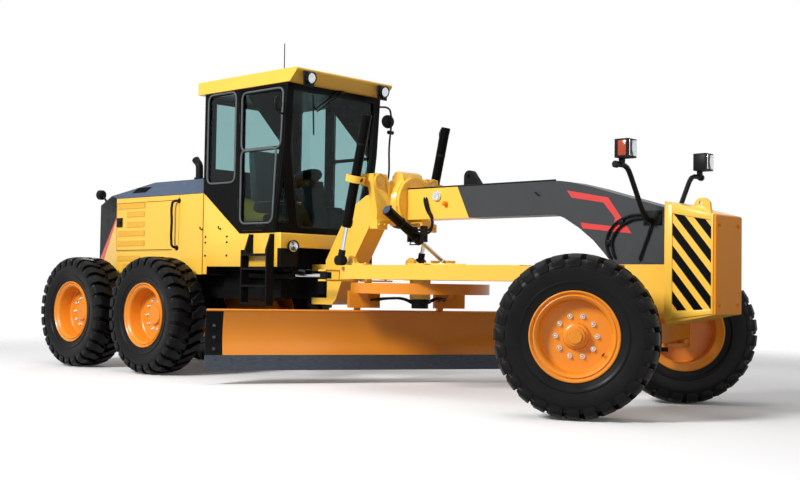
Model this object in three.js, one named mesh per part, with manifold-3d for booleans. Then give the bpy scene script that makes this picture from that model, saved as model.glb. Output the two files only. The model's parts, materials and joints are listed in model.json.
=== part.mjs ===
// Motor grader: a rear frame with engine, cab and tandem drive, a front frame hinged to it,
// and a blade carried on a drawbar and circle under the front frame.
// Millimetres, +X forward, +Y left, +Z up. Everything is drawn round the point on the ground
// under the tandem pivot, and the finished group is then moved so that its box stands centred on 0.
import * as THREE from 'three';
import { mergeVertices } from 'three/addons/utils/BufferGeometryUtils.js';
import Module from 'manifold-3d';

const wasm = await Module();
wasm.setup();

// ---------------------------------------------------------------- driving dimensions
const GAP = 0.4;                         // between pieces that are bolted face to face
const RUNNING = 2;                       // round a pin that turns
const SIDES = [['right', -1], ['left', 1]];

const TYRE = { radius: 660, halfWidth: 220, bead: 326, segments: 28 };
const RIM = { flange: 359, halfWidth: 190, flangeStep: 172, barrel: 319, lip: 347, seat: 304, well: 296 };
const HUB = { radius: 110, rearDisc: -20, frontDisc: 40, discThickness: 22, reach: 34 };
// The rails are low ahead of the step, where the bending cylinders swing over them.
const CHASSIS = { half: 430, rail: 380, bottom: 860, top: 1126, step: 1080 };
const TANDEM = { spread: 750, wheelY: 971, caseIn: 545, caseOut: 735, endRadius: 175 };
const FRONT_AXLE = { x: 6356, kingpinY: 844, offset: 110, z: TYRE.radius };
const STEER = { right: 26.7, left: 37.6 };  // how far the wheels are turned left at rest, degrees

const HINGE = { x: 2450, radius: 125, pin: 45, low: 820, high: 1250, plate: 70 };
const BEAM = { half: 125, top: 2005, bottom: 1700 };
const BALL = { x: 6200, z: 1160, radius: 58, pin: 22 };
const CIRCLE = { x: 3870, outer: 700, inner: 560, low: 955, high: 1060 };
const BLADE = { turn: 31.5, length: 3660, shift: -230, bottom: 145, top: 757, face: -685, thick: 20 };
const PIVOT = { v: -845, z: 360, radius: 28 };   // blade tip pivot, behind the blade

const HOOD = { half: 690, side: 2045, top: 2240, shoulder: 450, wall: 30, base: 1127,
  front: 1190, tail: -520, back: -1130 };
const CAB = { half: 700, wall: 40, back: 1205, floor: 1575, top: 3150, lean: 0.0669, frontFoot: 2495 };
const ROOF = { back: 1098, front: 2759, half: 722, top: 3293 };
const NOSE = { half: 223, front: 7234 };
const TOW_EYE = { x: 7090, z: 1747, hole: 15, from: 185, to: 215 };
const LUG = { x: 4511, z: 2108, radius: 62, hole: 24 };      // lifting lug on the gooseneck
const LAMP = { y: 645, half: 65, back: 6590, front: 6716, low: 2100, high: 2252 };
const HOSE = { radius: 11, lie: 142, root: 112 };            // clipped along the neck's sides
const LADDER = { back: 1990, front: 2420, low: 805, top: 1392, out: 790, strap: 30 };
const ANTENNA = { x: 2545, y: -708, radius: 6, top: 3560 };

const RING = { x: 3520, y: 600, z: 2090, bore: 77, outer: 99, height: 36 };
const LIFT_EYE = { x: 3330, z: 1280 };
const LIFT = { barrel: 50, rod: 22, above: 650, below: 490 };
const SIDE_PIVOT = { x: 3850, y: -30, z: 1520 };
const SIDE_EYE = { y: 370, z: 1294 };
const POCKET = { half: 78, ear: 106, from: 230, to: 580, floor: 1150 };  // in the drawbar, for that eye
const BEND_EYE = { x: 2960, y: 450, z: 1130 };   // where the bending cylinders meet the front frame
const BEND_ROOT = { x: 1760, y: 520, z: 1130 };

// ---------------------------------------------------------------- materials
function paint(colour, roughness = 0.45, metalness = 0) {
  return new THREE.MeshStandardMaterial({ color: colour, roughness, metalness });
}
const YELLOW = 0xfbc53b;
const ORANGE = 0xf5a524;
const DARK = 0x3a3a3c;
const BLACK = 0x1e1e1f;
const RUBBER = 0x1b1b1c;
const STEEL = 0x3c4148;
const CHROME = 0xc9ccd0;
const GLASS = 0x5f8f90;

// ---------------------------------------------------------------- shapes and solids
const radians = THREE.MathUtils.degToRad;

function outline(points) {
  return new THREE.Shape(points.map(([a, b]) => new THREE.Vector2(a, b)));
}

// An outline of (x, z) points, from y0 across to y1.
function sideProfile(points, y0, y1) {
  const geometry = new THREE.ExtrudeGeometry(outline(points), { depth: y1 - y0, bevelEnabled: false });
  return geometry.rotateX(Math.PI / 2).translate(0, y1, 0);
}

// An outline of (x, y) points, from z0 up to z1.
function planProfile(points, z0, z1) {
  const geometry = new THREE.ExtrudeGeometry(outline(points), { depth: z1 - z0, bevelEnabled: false });
  return geometry.translate(0, 0, z0);
}

// An outline of (y, z) points, from x0 forward to x1.
function crossProfile(points, x0, x1) {
  const geometry = new THREE.ExtrudeGeometry(outline(points), { depth: x1 - x0, bevelEnabled: false });
  const turn = new THREE.Matrix4().makeBasis(
    new THREE.Vector3(0, 1, 0), new THREE.Vector3(0, 0, 1), new THREE.Vector3(1, 0, 0));
  return geometry.applyMatrix4(turn).translate(x0, 0, 0);
}

function block(x0, x1, y0, y1, z0, z1) {
  const geometry = new THREE.BoxGeometry(x1 - x0, y1 - y0, z1 - z0);
  return geometry.translate((x0 + x1) / 2, (y0 + y1) / 2, (z0 + z1) / 2);
}

// Two distances from the middle plane, low one first, on the right (-1) or left (+1) side.
function reach(side, near, far) {
  return side < 0 ? [-far, -near] : [near, far];
}

// A round bar between two points.
function bar(from, to, radius, segments = 12) {
  const start = new THREE.Vector3(...from);
  const along = new THREE.Vector3(...to).sub(start);
  const geometry = new THREE.CylinderGeometry(radius, radius, along.length(), segments);
  const turn = new THREE.Quaternion().setFromUnitVectors(
    new THREE.Vector3(0, 1, 0), along.clone().normalize());
  return geometry.applyQuaternion(turn).translate(...start.addScaledVector(along, 0.5).toArray());
}

// A turned shape: (radius, distance along the axis) points, its axis along +Y.
function turned(points, segments, start = 0) {
  return new THREE.LatheGeometry(points.map(([r, a]) => new THREE.Vector2(r, a)), segments, start);
}

function pipe(points, radius, steps = 8) {
  const path = new THREE.CatmullRomCurve3(points.map((point) => new THREE.Vector3(...point)));
  const section = new THREE.Shape().absarc(0, 0, radius, 0, 2 * Math.PI, false);
  return new THREE.ExtrudeGeometry(section, { steps, curveSegments: 4, extrudePath: path });
}

function solid(geometry) {
  const bare = geometry.clone();
  bare.deleteAttribute('normal');
  bare.deleteAttribute('uv');
  const merged = mergeVertices(bare, 0.001);
  const mesh = new wasm.Mesh({
    numProp: 3,
    vertProperties: new Float32Array(merged.attributes.position.array),
    triVerts: new Uint32Array(merged.index.array),
  });
  return new wasm.Manifold(mesh);
}

function joined(...geometries) {
  return geometries.slice(1).reduce((sum, next) => sum.add(solid(next)), solid(geometries[0]));
}

function cut(base, ...geometries) {
  return geometries.reduce((rest, next) => rest.subtract(solid(next)), base);
}

function shapeOf(manifold) {
  const mesh = manifold.getMesh();
  const geometry = new THREE.BufferGeometry();
  geometry.setAttribute('position', new THREE.BufferAttribute(mesh.vertProperties, 3));
  geometry.setIndex(new THREE.BufferAttribute(mesh.triVerts, 1));
  geometry.computeVertexNormals();
  return geometry;
}

function mirrored(geometry, side) {
  if (side < 0) return geometry;
  const copy = geometry.clone().scale(1, -1, 1);
  const index = copy.index ? Array.from(copy.index.array) : [...copy.attributes.position.array.keys()];
  const count = copy.index ? index.length : copy.attributes.position.count;
  const flipped = [];
  for (let i = 0; i < count; i += 3) flipped.push(index[i], index[i + 2], index[i + 1]);
  copy.setIndex(flipped);
  return copy;
}

// The large block whose face lies on the plane through a point, on the side the normal points to.
function beyond(point, normal, size = 4000) {
  const direction = new THREE.Vector3(...normal).normalize();
  const turn = new THREE.Quaternion().setFromUnitVectors(new THREE.Vector3(0, 0, 1), direction);
  const geometry = new THREE.BoxGeometry(size, size, size).translate(0, 0, size / 2);
  return geometry.applyQuaternion(turn).translate(...point);
}

const machine = new THREE.Group();

function piece(name, shape, colour, parent = machine, roughness = 0.45, metalness = 0) {
  const geometry = shape.isBufferGeometry ? shape : shapeOf(shape);
  const mesh = new THREE.Mesh(geometry, paint(colour, roughness, metalness));
  mesh.name = name;
  parent.add(mesh);
  return mesh;
}

// ---------------------------------------------------------------- wheels
// A tyre stands on a facet of its tread, flattened as a parked tyre is.
function tyreShape() {
  const { radius, halfWidth, bead, segments } = TYRE;
  const tread = radius / Math.cos(Math.PI / segments);
  const half = [[bead, 166], [366, 168], [480, halfWidth], [600, halfWidth - 8], [tread, halfWidth - 48]];
  const profile = [...half, ...half.map(([r, a]) => [r, -a]).reverse()];
  profile.push(profile[0]);
  return turned(profile.reverse(), segments, Math.PI / segments);
}

// The rim is drawn with its outer side towards -Y, the right of the machine.
function rimShape(disc) {
  const { flange, halfWidth, flangeStep, barrel, lip, seat, well } = RIM;
  const outerFace = disc + HUB.discThickness;
  const profile = [
    [0, outerFace + HUB.reach], [HUB.radius, outerFace + HUB.reach], [HUB.radius + 8, outerFace],
    [well, outerFace], [seat, 156], [lip, halfWidth], [flange, halfWidth], [flange, flangeStep],
    [barrel, flangeStep - 6], [barrel, 6 - flangeStep], [flange, -flangeStep], [flange, -halfWidth],
    [lip, -halfWidth], [seat, -156], [well, disc], [0, disc],
  ];
  return turned(profile.map(([r, a]) => [r, -a]), 18);
}

function wheel(name, disc, side, parent, x, y, z) {
  const group = new THREE.Group();
  group.position.set(x, y, z);
  parent.add(group);
  piece(`tyre_${name}`, tyreShape(), RUBBER, group, 0.9);
  piece(`rim_${name}`, mirrored(rimShape(disc), side), ORANGE, group);
}

// ---------------------------------------------------------------- rear frame and tandem drive
function rearFrame() {
  const { half, rail, top, step } = CHASSIS;
  const length = (from, to, high) => SIDES.map(([, side]) => (
    block(from, to, side * rail - 50, side * rail + 50, CHASSIS.bottom, high)));
  const frame = joined(
    ...length(-1150, 1720, top),
    ...length(1700, 2150, step),
    block(-1160, -1000, -half, half, CHASSIS.bottom, top),
    block(-200, 200, -half, half, 690, 880),
    block(1000, 1180, -half, half, CHASSIS.bottom, 1100),
    block(1950, 2240, -half, half, 880, step),
    bar([0, -TANDEM.caseIn + GAP, 700], [0, TANDEM.caseIn - GAP, 700], 115),
    planProfile([[2200, -110], [HINGE.x, -110], [HINGE.x, 110], [2200, 110]], 925, 1140),
    bar([HINGE.x, 0, 925], [HINGE.x, 0, 1140], 110, 24),
    bar([HINGE.x, 0, HINGE.low - 8], [HINGE.x, 0, HINGE.high + 8], HINGE.pin, 24),
    ...SIDES.flatMap(([, side]) => bendBracket(side, BEND_ROOT.x, BEND_ROOT.y, 430)),
  );
  piece('rear_frame', frame, BLACK);
}

// Two ears, above and below a bending cylinder's eye, with their pin.
function bendBracket(side, x, y, from) {
  const width = reach(side, from, y + 55);
  return [
    block(x - 55, x + 55, ...width, 1172, 1190),
    block(x - 55, x + 55, ...width, 1070, 1088),
    block(x - 55, x + 55, ...reach(side, from - 20, from + 8), 1070, 1190),
    bar([x, side * y, 1071], [x, side * y, 1189], 12),
  ];
}

function tandemCases() {
  const { spread, endRadius, caseIn, caseOut } = TANDEM;
  const z = TYRE.radius;
  const waist = [[-spread, z - endRadius], [spread, z - endRadius], [spread, z + endRadius],
    [260, z + endRadius + 70], [-260, z + endRadius + 70], [-spread, z + endRadius]];
  for (const [name, side] of SIDES) {
    const [low, high] = reach(side, caseIn, caseOut);
    const ends = [-spread, spread].flatMap((x) => [
      bar([x, low, z], [x, high, z], endRadius, 24),
      bar([x, side * caseOut, z], [x, side * (TANDEM.wheelY + HUB.rearDisc - 4), z], 95, 16),
    ]);
    piece(`tandem_case_${name}`, joined(sideProfile(waist, low, high), ...ends), ORANGE);
  }
}

// ---------------------------------------------------------------- engine and hood
function hoodVolume(inset, front) {
  const half = HOOD.half - inset;
  const top = HOOD.top - inset;
  const side = HOOD.side - inset / 2;
  const shoulder = HOOD.shoulder - inset / 2;
  const low = HOOD.base - (inset ? 100 : 0);
  const section = [[-half, low], [half, low], [half, side], [shoulder, top], [-shoulder, top], [-half, side]];
  const back = HOOD.back + inset;
  const slope = new THREE.Vector3(top - 1990 + inset, 0, -back - 70).normalize();
  return cut(
    solid(crossProfile(section, back, front)),
    beyond([-70, 0, top], [-slope.x, 0, slope.z]),
    ...SIDES.map(([, s]) => beyond([HOOD.tail, s * half, HOOD.base], [-190, s * 700, 0])),
  );
}

function engineHood() {
  const openings = SIDES.map(([, s]) => block(-514, 624, s * 690 - 60, s * 690 + 60, 1406, 1984));
  const shell = hoodVolume(0, HOOD.front).subtract(hoodVolume(HOOD.wall, HOOD.front - HOOD.wall));
  piece('engine_hood', cut(shell, ...openings), YELLOW);
  piece('engine_block', block(-700, 800, -300, 300, 1126.5, 1900), STEEL, machine, 0.7);
  for (const [name, s] of SIDES) {
    const door = block(-508, 618, ...reach(s, 661, 689), 1412, 1978);
    piece(`engine_door_${name}`, door, YELLOW);
  }
}

// ---------------------------------------------------------------- cab
// The inside or outside of the cab's walls. Its lower front corners are cut back below a kink.
function cabVolume(inset) {
  const half = CAB.half - inset;
  const top = CAB.top - inset;
  const bottom = CAB.floor + (inset ? -200 : 0);
  const back = CAB.back + inset;
  const frontAt = (z) => CAB.frontFoot - inset + (z - CAB.floor) * CAB.lean;
  const profile = inset
    ? [[back, bottom], [frontAt(bottom), bottom], [frontAt(top), top], [back, top]]
    : [[1850, bottom], [frontAt(bottom), bottom], [frontAt(top), top], [back, top], [back, 2045]];
  return cut(
    solid(sideProfile(profile, -half, half)),
    ...SIDES.map(([, s]) => beyond([2430 - inset * 0.6, s * half, CAB.floor], cornerNormal(s))),
  );
}

// Across the lower front corner, from the side wall's edge to the windscreen's.
function cornerNormal(side) {
  const alongDoor = new THREE.Vector3(115, 0, 845);
  const alongFoot = new THREE.Vector3(70, -side * 210, 0);
  const normal = alongFoot.cross(alongDoor);
  return normal.x < 0 ? normal.negate().toArray() : normal.toArray();
}

// The pane in the lower front corner: the corner's own triangle, drawn in by a share.
function cornerPane(side, share = 0.62) {
  const foot = new THREE.Vector3(2430, side * CAB.half, CAB.floor);
  const corners = [
    foot,
    new THREE.Vector3(2495, side * 505, CAB.floor),
    new THREE.Vector3(2545, side * CAB.half, 2420),
  ];
  const middle = corners.reduce((sum, corner) => sum.add(corner), new THREE.Vector3());
  middle.divideScalar(corners.length);
  const across = corners[1].clone().sub(foot).normalize();
  const out = new THREE.Vector3(...cornerNormal(side)).normalize();
  const up = out.clone().cross(across);
  const flat = corners.map((corner) => {
    const arm = corner.clone().sub(middle).multiplyScalar(share);
    return [arm.dot(across), arm.dot(up)];
  });
  const geometry = new THREE.ExtrudeGeometry(outline(flat), { depth: 3 * CAB.wall, bevelEnabled: false });
  const turn = new THREE.Matrix4().makeBasis(across, up, out);
  return geometry.translate(0, 0, -2 * CAB.wall).applyMatrix4(turn).translate(...middle.toArray());
}

function lean(geometry) {
  const shear = new THREE.Matrix4().set(
    1, 0, CAB.lean, CAB.frontFoot - CAB.floor * CAB.lean,
    0, 1, 0, 0,
    0, 0, 1, 0,
    0, 0, 0, 1,
  );
  return geometry.applyMatrix4(shear);
}

const SCREEN = [[-430, 1640], [430, 1640], [600, 2450], [610, 3090], [-610, 3090], [-600, 2450]];
const DOOR = [[1836, 1606], [2408, 1606], [2518, 2420], [2556, 3118], [1836, 3118]];
const DOOR_PANE = [[1880, 1700], [2366, 1700], [2474, 2430], [2512, 3080], [1880, 3080]];
const QUARTER = [[1293, 2160], [1734, 2160], [1734, 3110], [1293, 3110]];

function grown(points, by) {
  const cx = points.reduce((sum, [a]) => sum + a, 0) / points.length;
  const cz = points.reduce((sum, [, b]) => sum + b, 0) / points.length;
  return points.map(([a, b]) => [a + by * Math.sign(a - cx), b + by * Math.sign(b - cz)]);
}

function cab() {
  const { half, wall } = CAB;
  const sideOpenings = SIDES.flatMap(([, s]) => {
    const [low, high] = reach(s, half - wall - 30, half + 30);
    return [sideProfile(QUARTER, low, high), sideProfile(grown(DOOR, 6), low, high)];
  });
  const shell = cut(
    cabVolume(0).subtract(cabVolume(wall)),
    ...sideOpenings,
    ...SIDES.map(([, s]) => cornerPane(s)),
    lean(crossProfile(SCREEN, -wall - 30, 60)),
    block(CAB.back - 20, CAB.back + wall + 20, -560, 560, 2320, 3060),
  );
  piece('cab_shell', shell, BLACK);
  piece('windscreen', lean(crossProfile(grown(SCREEN, -3), -26, -18)), GLASS, machine, 0.1);
  piece('rear_window', block(CAB.back + 16, CAB.back + 24, -557, 557, 2323, 3057), GLASS, machine, 0.1);
  for (const [name, s] of SIDES) {
    piece(`quarter_window_${name}`, sideProfile(grown(QUARTER, -3), ...reach(s, 676, 684)),
      GLASS, machine, 0.1);
    const skin = reach(s, half - wall + 1, half - 1);
    const crossbar = block(1870, 2500, ...skin, 2455, 2490);
    const frame = cut(solid(sideProfile(DOOR, ...skin)),
      sideProfile(DOOR_PANE, ...reach(s, half - wall - 20, half + 20)));
    const glassSlot = sideProfile(grown(DOOR_PANE, -2.6), ...reach(s, 668.6, 677.4));
    piece(`door_${name}`, cut(frame.add(solid(crossbar)), glassSlot), BLACK);
    piece(`door_glass_${name}`, sideProfile(grown(DOOR_PANE, -3), ...reach(s, 669, 677)),
      GLASS, machine, 0.1);
  }
  const roof = [[ROOF.back, CAB.top + GAP], [2645, CAB.top + GAP], [ROOF.front, 3262],
    [ROOF.front, ROOF.top - 12], [ROOF.front - 14, ROOF.top], [ROOF.back + 14, ROOF.top],
    [ROOF.back, ROOF.top - 12]];
  const { x, y, radius, top } = ANTENNA;
  const antenna = bar([x, y, ROOF.top - 40], [x, y, top], radius, 6);
  piece('cab_roof', joined(sideProfile(roof, -ROOF.half, ROOF.half), antenna), YELLOW);
}

// The body under the cab: floor, skirts, and the sloped shoulders behind the doors.
function cabBase() {
  const floor = CAB.floor - GAP;
  const base = [[CAB.back, HOOD.base], [1285, HOOD.base], [1285, 1210], [2520, 1210], [2520, floor - 12],
    [2508, floor], [CAB.back, floor]];
  const shoulder = [[CAB.back, floor - 20], [1848, floor - 20], [1848, floor],
    [CAB.back, 2045 - GAP * 2]];
  const body = joined(
    sideProfile(base, -HOOD.half, HOOD.half),
    ...SIDES.map(([, s]) => sideProfile(shoulder, ...reach(s, 650, 690))),
    block(CAB.back, CAB.back + 30, -690, 690, floor - 20, 2015),
  );
  piece('cab_base', cut(body, block(2140, 2600, -440, 440, 1100, 1420)), YELLOW);
}

function cabInside() {
  const floor = CAB.floor;
  piece('seat', joined(
    block(1560, 1840, -150, 150, floor, floor + 270),
    block(1500, 1960, -240, 240, floor + 260, floor + 390),
    sideProfile([[1450, floor + 380], [1590, floor + 380], [1500, floor + 980], [1390, floor + 980]],
      -230, 230),
  ), BLACK, machine, 0.8);
  piece('steering_console', joined(
    sideProfile([[2200, floor], [2400, floor], [2300, floor + 600], [2180, floor + 560]], -110, 110),
    bar([2180, 0, floor + 545], [2130, 0, floor + 640], 24),
    bar([2137, 0, floor + 626], [2125, 0, floor + 650], 190, 24),
  ), BLACK, machine, 0.7);
}

// A ladder of two side plates and three treads, hung from the cab's base by two straps.
function ladders() {
  const { back, front, low, top, out, strap } = LADDER;
  const root = HOOD.half + GAP;
  for (const [name, s] of SIDES) {
    const depth = reach(s, root, out);
    const treads = [low + 15, 1008, 1190, top - 52].map((z) => (
      block(back, front, ...depth, z - 12, z + 12)));
    const plates = [back, front - 20].map((x) => block(x, x + 20, ...depth, low, top));
    const hanger = [[s * root, top - 40], [s * out, top - 40], [s * out, top], [s * (root + 40), 1560],
      [s * root, 1560]];
    const straps = [back + 60, front - strap].map((x) => (
      crossProfile(s < 0 ? hanger.reverse() : hanger, x, x + strap)));
    piece(`ladder_${name}`, joined(...plates, ...treads, ...straps), BLACK);
  }
}

// ---------------------------------------------------------------- front frame
const GOOSENECK = [
  [2640, HINGE.low], [2715, HINGE.low], [2780, 880], [2850, 1050], [3036, 1294], [3281, 1675],
  [3330, BEAM.bottom], [5610, BEAM.bottom], [5700, 1667], [5860, 1574], [6010, 1462], [6120, 1352],
  [6200, 1264], [6240, 1246], [6330, 1246],
  [6330, 795], [6766, 795], [6766, 1712], [6700, 1732], [6300, 1846], [6000, 1930], [5760, 1988],
  [5640, BEAM.top], [3400, BEAM.top], [3200, 1965], [3070, 1892], [2960, 1798], [2835, 1642],
  [2616, 1295], [2616, 1250], [2640, 1250],
];

function frontFrame() {
  const { x, radius, low, high, plate, pin } = HINGE;
  const forkPlate = (z0, z1) => [
    bar([x, 0, z0], [x, 0, z1], radius, 24),
    block(x, 2700, -radius, radius, z0, z1),
  ];
  const socketPlate = (z0, z1) => block(6140, 6340, -54, 54, z0, z1);
  const ears = SIDES.flatMap(([, s]) => [
    ...bendBracket(s, BEND_EYE.x, BEND_EYE.y, 120),
    block(2880, 2960, ...reach(s, 110, 200), 1080, 1180),
  ]);
  const frame = joined(
    sideProfile(GOOSENECK, -BEAM.half, BEAM.half),
    ...forkPlate(low, low + plate),
    ...forkPlate(high - plate, high),
    socketPlate(1222, 1250),
    socketPlate(1070, 1098),
    ...liftingLug(),
    ...SIDES.flatMap(([, s]) => [...headlamp(s), ...neckHoses(s)]),
    ...ears,
  );
  piece('front_frame', cut(
    frame,
    bar([x, 0, low - 20], [x, 0, high + 20], pin + RUNNING, 24),
    bar([BALL.x, 0, 1060], [BALL.x, 0, 1260], BALL.pin + RUNNING, 16),
    bar([LUG.x, -60, LUG.z], [LUG.x, 60, LUG.z], LUG.hole, 16),
  ), DARK);
}

// A lug to lift the machine by: a plate with a round head, raked forward.
function liftingLug() {
  const { x, z, radius } = LUG;
  const foot = BEAM.top - 20;
  const web = [[x - radius, z], [x - radius, foot], [x + 150, foot], [x + 140, BEAM.top + 20],
    [x + 44, z + 44]];
  return [
    sideProfile(web.reverse(), -30, 30),
    bar([x, -30, z], [x, 30, z], radius, 24),
  ];
}

// A headlamp on its tube: out from the beam, up, out again, and the lamp's box on a post.
function headlamp(s) {
  const { y, half, back, front, low, high } = LAMP;
  const path = [[6600, s * 110, 1624], [6600, s * 200, 1626], [6600, s * 262, 1664], [6600, s * 400, 1856],
    [6600, s * 520, 2022], [6600, s * 570, 2046], [6600, s * 712, 2047]];
  return [
    pipe(path, 22, 18),
    bar([6612, s * y, 2040], [6612, s * y, low + 10], 16),
    block(back, front, ...reach(s, y - half, y + half), low, high),
  ];
}

// Steering hoses, as (x, z) points: out of the neck, along its side in a loop, and in again at its foot.
const HOSE_PATHS = [
  [[6530, 1670], [6500, 1672], [6400, 1668], [6240, 1600], [6160, 1480], [6165, 1370], [6200, 1306],
    [6212, 1290]],
  [[6530, 1638], [6500, 1640], [6420, 1634], [6290, 1570], [6215, 1470], [6215, 1384], [6240, 1312],
    [6248, 1292]],
  [[6602, 1614], [6600, 1594], [6570, 1500], [6520, 1380], [6488, 1294], [6482, 1276]],
];

function neckHoses(s) {
  return HOSE_PATHS.map((path) => {
    const last = path.length - 1;
    const route = path.map(([x, z], i) => [x, s * (i % last ? HOSE.lie : HOSE.root), z]);
    return pipe(route, HOSE.radius, 2 * last);
  });
}

function noseBlock() {
  const side = [[6768, 795], [6790, 753], [NOSE.front - 3, 846], [NOSE.front, 850], [NOSE.front, 1640],
    [NOSE.front - 14, 1652], [6768, 1772]];
  const { x, z, hole, from, to } = TOW_EYE;
  const eye = sideProfile([[x - 78, 1670], [x + 99, 1630], [x + 82, z + 6], [x + 44, z + 38], [x, z + 44],
    [x - 38, z + 28], [x - 70, z - 20]], -to, -from);
  const body = joined(sideProfile(side, -NOSE.half, NOSE.half), eye);
  piece('nose_block', cut(body, bar([x, -to - 20, z], [x, 20 - from, z], hole, 16)), YELLOW);
}

// The saddle clasps the beam; its arms reach out to the rings of the lift cylinders.
function saddle() {
  const drumZ = 1880;
  const arm = (s) => {
    const points = [[s * 180, 1720], [s * 330, 1600], [s * 450, 1600], [s * 430, 1760], [s * 490, 2040],
      [s * 490, 2150], [s * 300, 2150], [s * 240, 2010], [s * 180, 1990]];
    return crossProfile(s > 0 ? points : points.reverse(), 3585, 3665);
  };
  const boss = (s) => bar([RING.x, s * 380, RING.z], [RING.x, s * 488, RING.z], 62, 24);
  const link = (s) => block(RING.x, 3600, ...reach(s, 380, 488), 2028, 2150);
  const cap = [[3600, 2040], [3760, 2040], [3760, 2110], [3735, 2170], [3690, 2195], [3640, 2185],
    [3600, 2140]];
  const body = joined(
    bar([3560, 0, drumZ], [3760, 0, drumZ], 262, 24),
    bar([3760, 0, drumZ], [3790, 0, drumZ], 236, 24),
    sideProfile(cap, -150, 150),
    ...SIDES.flatMap(([, s]) => [arm(s), boss(s), link(s)]),
    ...[3762, 3938].map((x) => block(x - 12, x + 12, -75, 15, 1478, BEAM.bottom - GAP)),
    block(3750, 3950, -75, 15, 1664, BEAM.bottom - GAP),
  );
  const beam = block(3400, 4100, -BEAM.half - GAP, BEAM.half + GAP, BEAM.bottom - GAP, BEAM.top + GAP);
  const pins = SIDES.map(([, s]) => bar([RING.x, s * 360, RING.z], [RING.x, s * 500, RING.z], 24, 16));
  const trunnion = bar([3700, SIDE_PIVOT.y, SIDE_PIVOT.z], [4000, SIDE_PIVOT.y, SIDE_PIVOT.z], 19, 16);
  piece('saddle', cut(body, beam, ...pins, trunnion), YELLOW);
}

// ---------------------------------------------------------------- front axle and steering
function frontAxle() {
  const { x, kingpinY, z } = FRONT_AXLE;
  const beam = [[-760, 600], [-300, 560], [300, 560], [760, 600], [760, 720], [300, 745], [170, 795 - GAP],
    [-170, 795 - GAP], [-300, 745], [-760, 720]];
  const ends = SIDES.flatMap(([, s]) => [
    block(x - 55, x + 55, ...reach(s, 750, kingpinY), z - 60, z + 60),
    bar([x, s * kingpinY, z - 62], [x, s * kingpinY, z + 62], 58, 16),
  ]);
  const holes = SIDES.map(([, s]) => bar([x, s * kingpinY, 500], [x, s * kingpinY, 800], 27, 16));
  piece('front_axle', cut(joined(crossProfile(beam, x - 70, x + 70), ...ends), ...holes), BLACK);
}

const ARM = { back: 190, in: 150 };      // the steering arm's end, from the kingpin, wheels straight

// Drawn for the right side: the wheel lies towards -Y, the kingpin at 0.
function knuckleShape() {
  const ear = (z0, z1) => [bar([0, 0, z0], [0, 0, z1], 58, 16), block(-58, 58, -100, 0, z0, z1)];
  const arm = [[58, 0], [20, 60], [-ARM.back + 30, ARM.in + 30], [-ARM.back - 30, ARM.in + 10],
    [-ARM.back - 10, ARM.in - 35], [-58, 0], [-40, -60], [40, -60]];
  return joined(
    ...ear(66, 106),
    ...ear(-108, -68),
    block(-58, 58, -100, -66, -108, 106),
    planProfile(arm, -140, -106),
    bar([0, -90, 0], [0, 4 - FRONT_AXLE.offset - HUB.frontDisc, 0], 62, 16),
    bar([0, 0, -120], [0, 0, 90], 25, 16),
  );
}

function steering() {
  for (const [name, side] of SIDES) {
    const corner = new THREE.Group();
    corner.position.set(FRONT_AXLE.x, side * FRONT_AXLE.kingpinY, FRONT_AXLE.z);
    corner.rotation.z = radians(STEER[name]);
    machine.add(corner);
    piece(`knuckle_${name}`, mirrored(shapeOf(knuckleShape()), side), ORANGE, corner);
    wheel(`front_${name}`, HUB.frontDisc, side, corner, 0, side * FRONT_AXLE.offset, 0);
  }
}

function armEnd(name, side) {
  const end = new THREE.Vector3(-ARM.back, -side * ARM.in, 0);
  end.applyAxisAngle(new THREE.Vector3(0, 0, 1), radians(STEER[name]));
  return [end.x + FRONT_AXLE.x, end.y + side * FRONT_AXLE.kingpinY];
}

function tieRod() {
  const height = FRONT_AXLE.z - 162;
  const [from, to] = SIDES.map(([name, side]) => armEnd(name, side));
  const eyes = [from, to].map(([x, y]) => bar([x, y, height - 18], [x, y, height + 18], 32, 16));
  piece('tie_rod', joined(bar([...from, height], [...to, height], 17, 12), ...eyes), BLACK);
}

// ---------------------------------------------------------------- drawbar, circle and blade
function drawbar() {
  const { x, z } = BALL;
  const ball = joined(
    new THREE.SphereGeometry(BALL.radius, 20, 12).translate(x, 0, z),
    bar([x, 0, 1072], [x, 0, 1248], BALL.pin, 16),
    bar([x, -96, z], [x, 96, z], BALL.pin, 16),
  );
  piece('drawbar_ball', ball, STEEL);
  const plan = [[6040, -95], [6040, 95], [5800, 110], [4450, 600], [3390, 600], [3390, -600],
    [4450, -600], [5800, -110]];
  const gap = [[5420, 0], [4420, 360], [4420, -360]];
  const lug = (s) => [
    sideProfile([[3270, 1200], [3420, 1200], [3390, 1300], [3330, 1335], [3275, 1300]],
      ...reach(s, 425, 480)),
    block(3270, 3460, ...reach(s, 400, 545), 1090, 1216),
  ];
  const fork = (s) => [
    bar([x, s * 70, z], [x, s * 94, z], 48, 16),
    block(6020, x, ...reach(s, 70, 94), z - 45, z + 45),
  ];
  const frame = joined(
    planProfile(plan, 1095, 1235),
    ...SIDES.flatMap(([, s]) => [...lug(s), ...fork(s)]),
    bar([CIRCLE.x, 0, 900], [CIRCLE.x, 0, 1100], 105, 16),
    ...[-1, 1].map((end) => SIDE_PIVOT.x + end * POCKET.ear).map((middle) => (
      block(middle - 14, middle + 14, SIDE_EYE.y - 60, SIDE_EYE.y + 60, 1230, 1300))),
  );
  const holes = SIDES.map(([, s]) => bar([x, s * 60, z], [x, s * 110, z], BALL.pin + RUNNING, 16));
  // The side-shift cylinder's eye dips into this pocket when the drawbar is raised.
  const pocket = block(SIDE_PIVOT.x - POCKET.half, SIDE_PIVOT.x + POCKET.half,
    POCKET.from, POCKET.to, POCKET.floor, 1300);
  piece('drawbar', cut(frame, planProfile(gap, 1000, 1300), pocket, ...holes), YELLOW);
}

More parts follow.
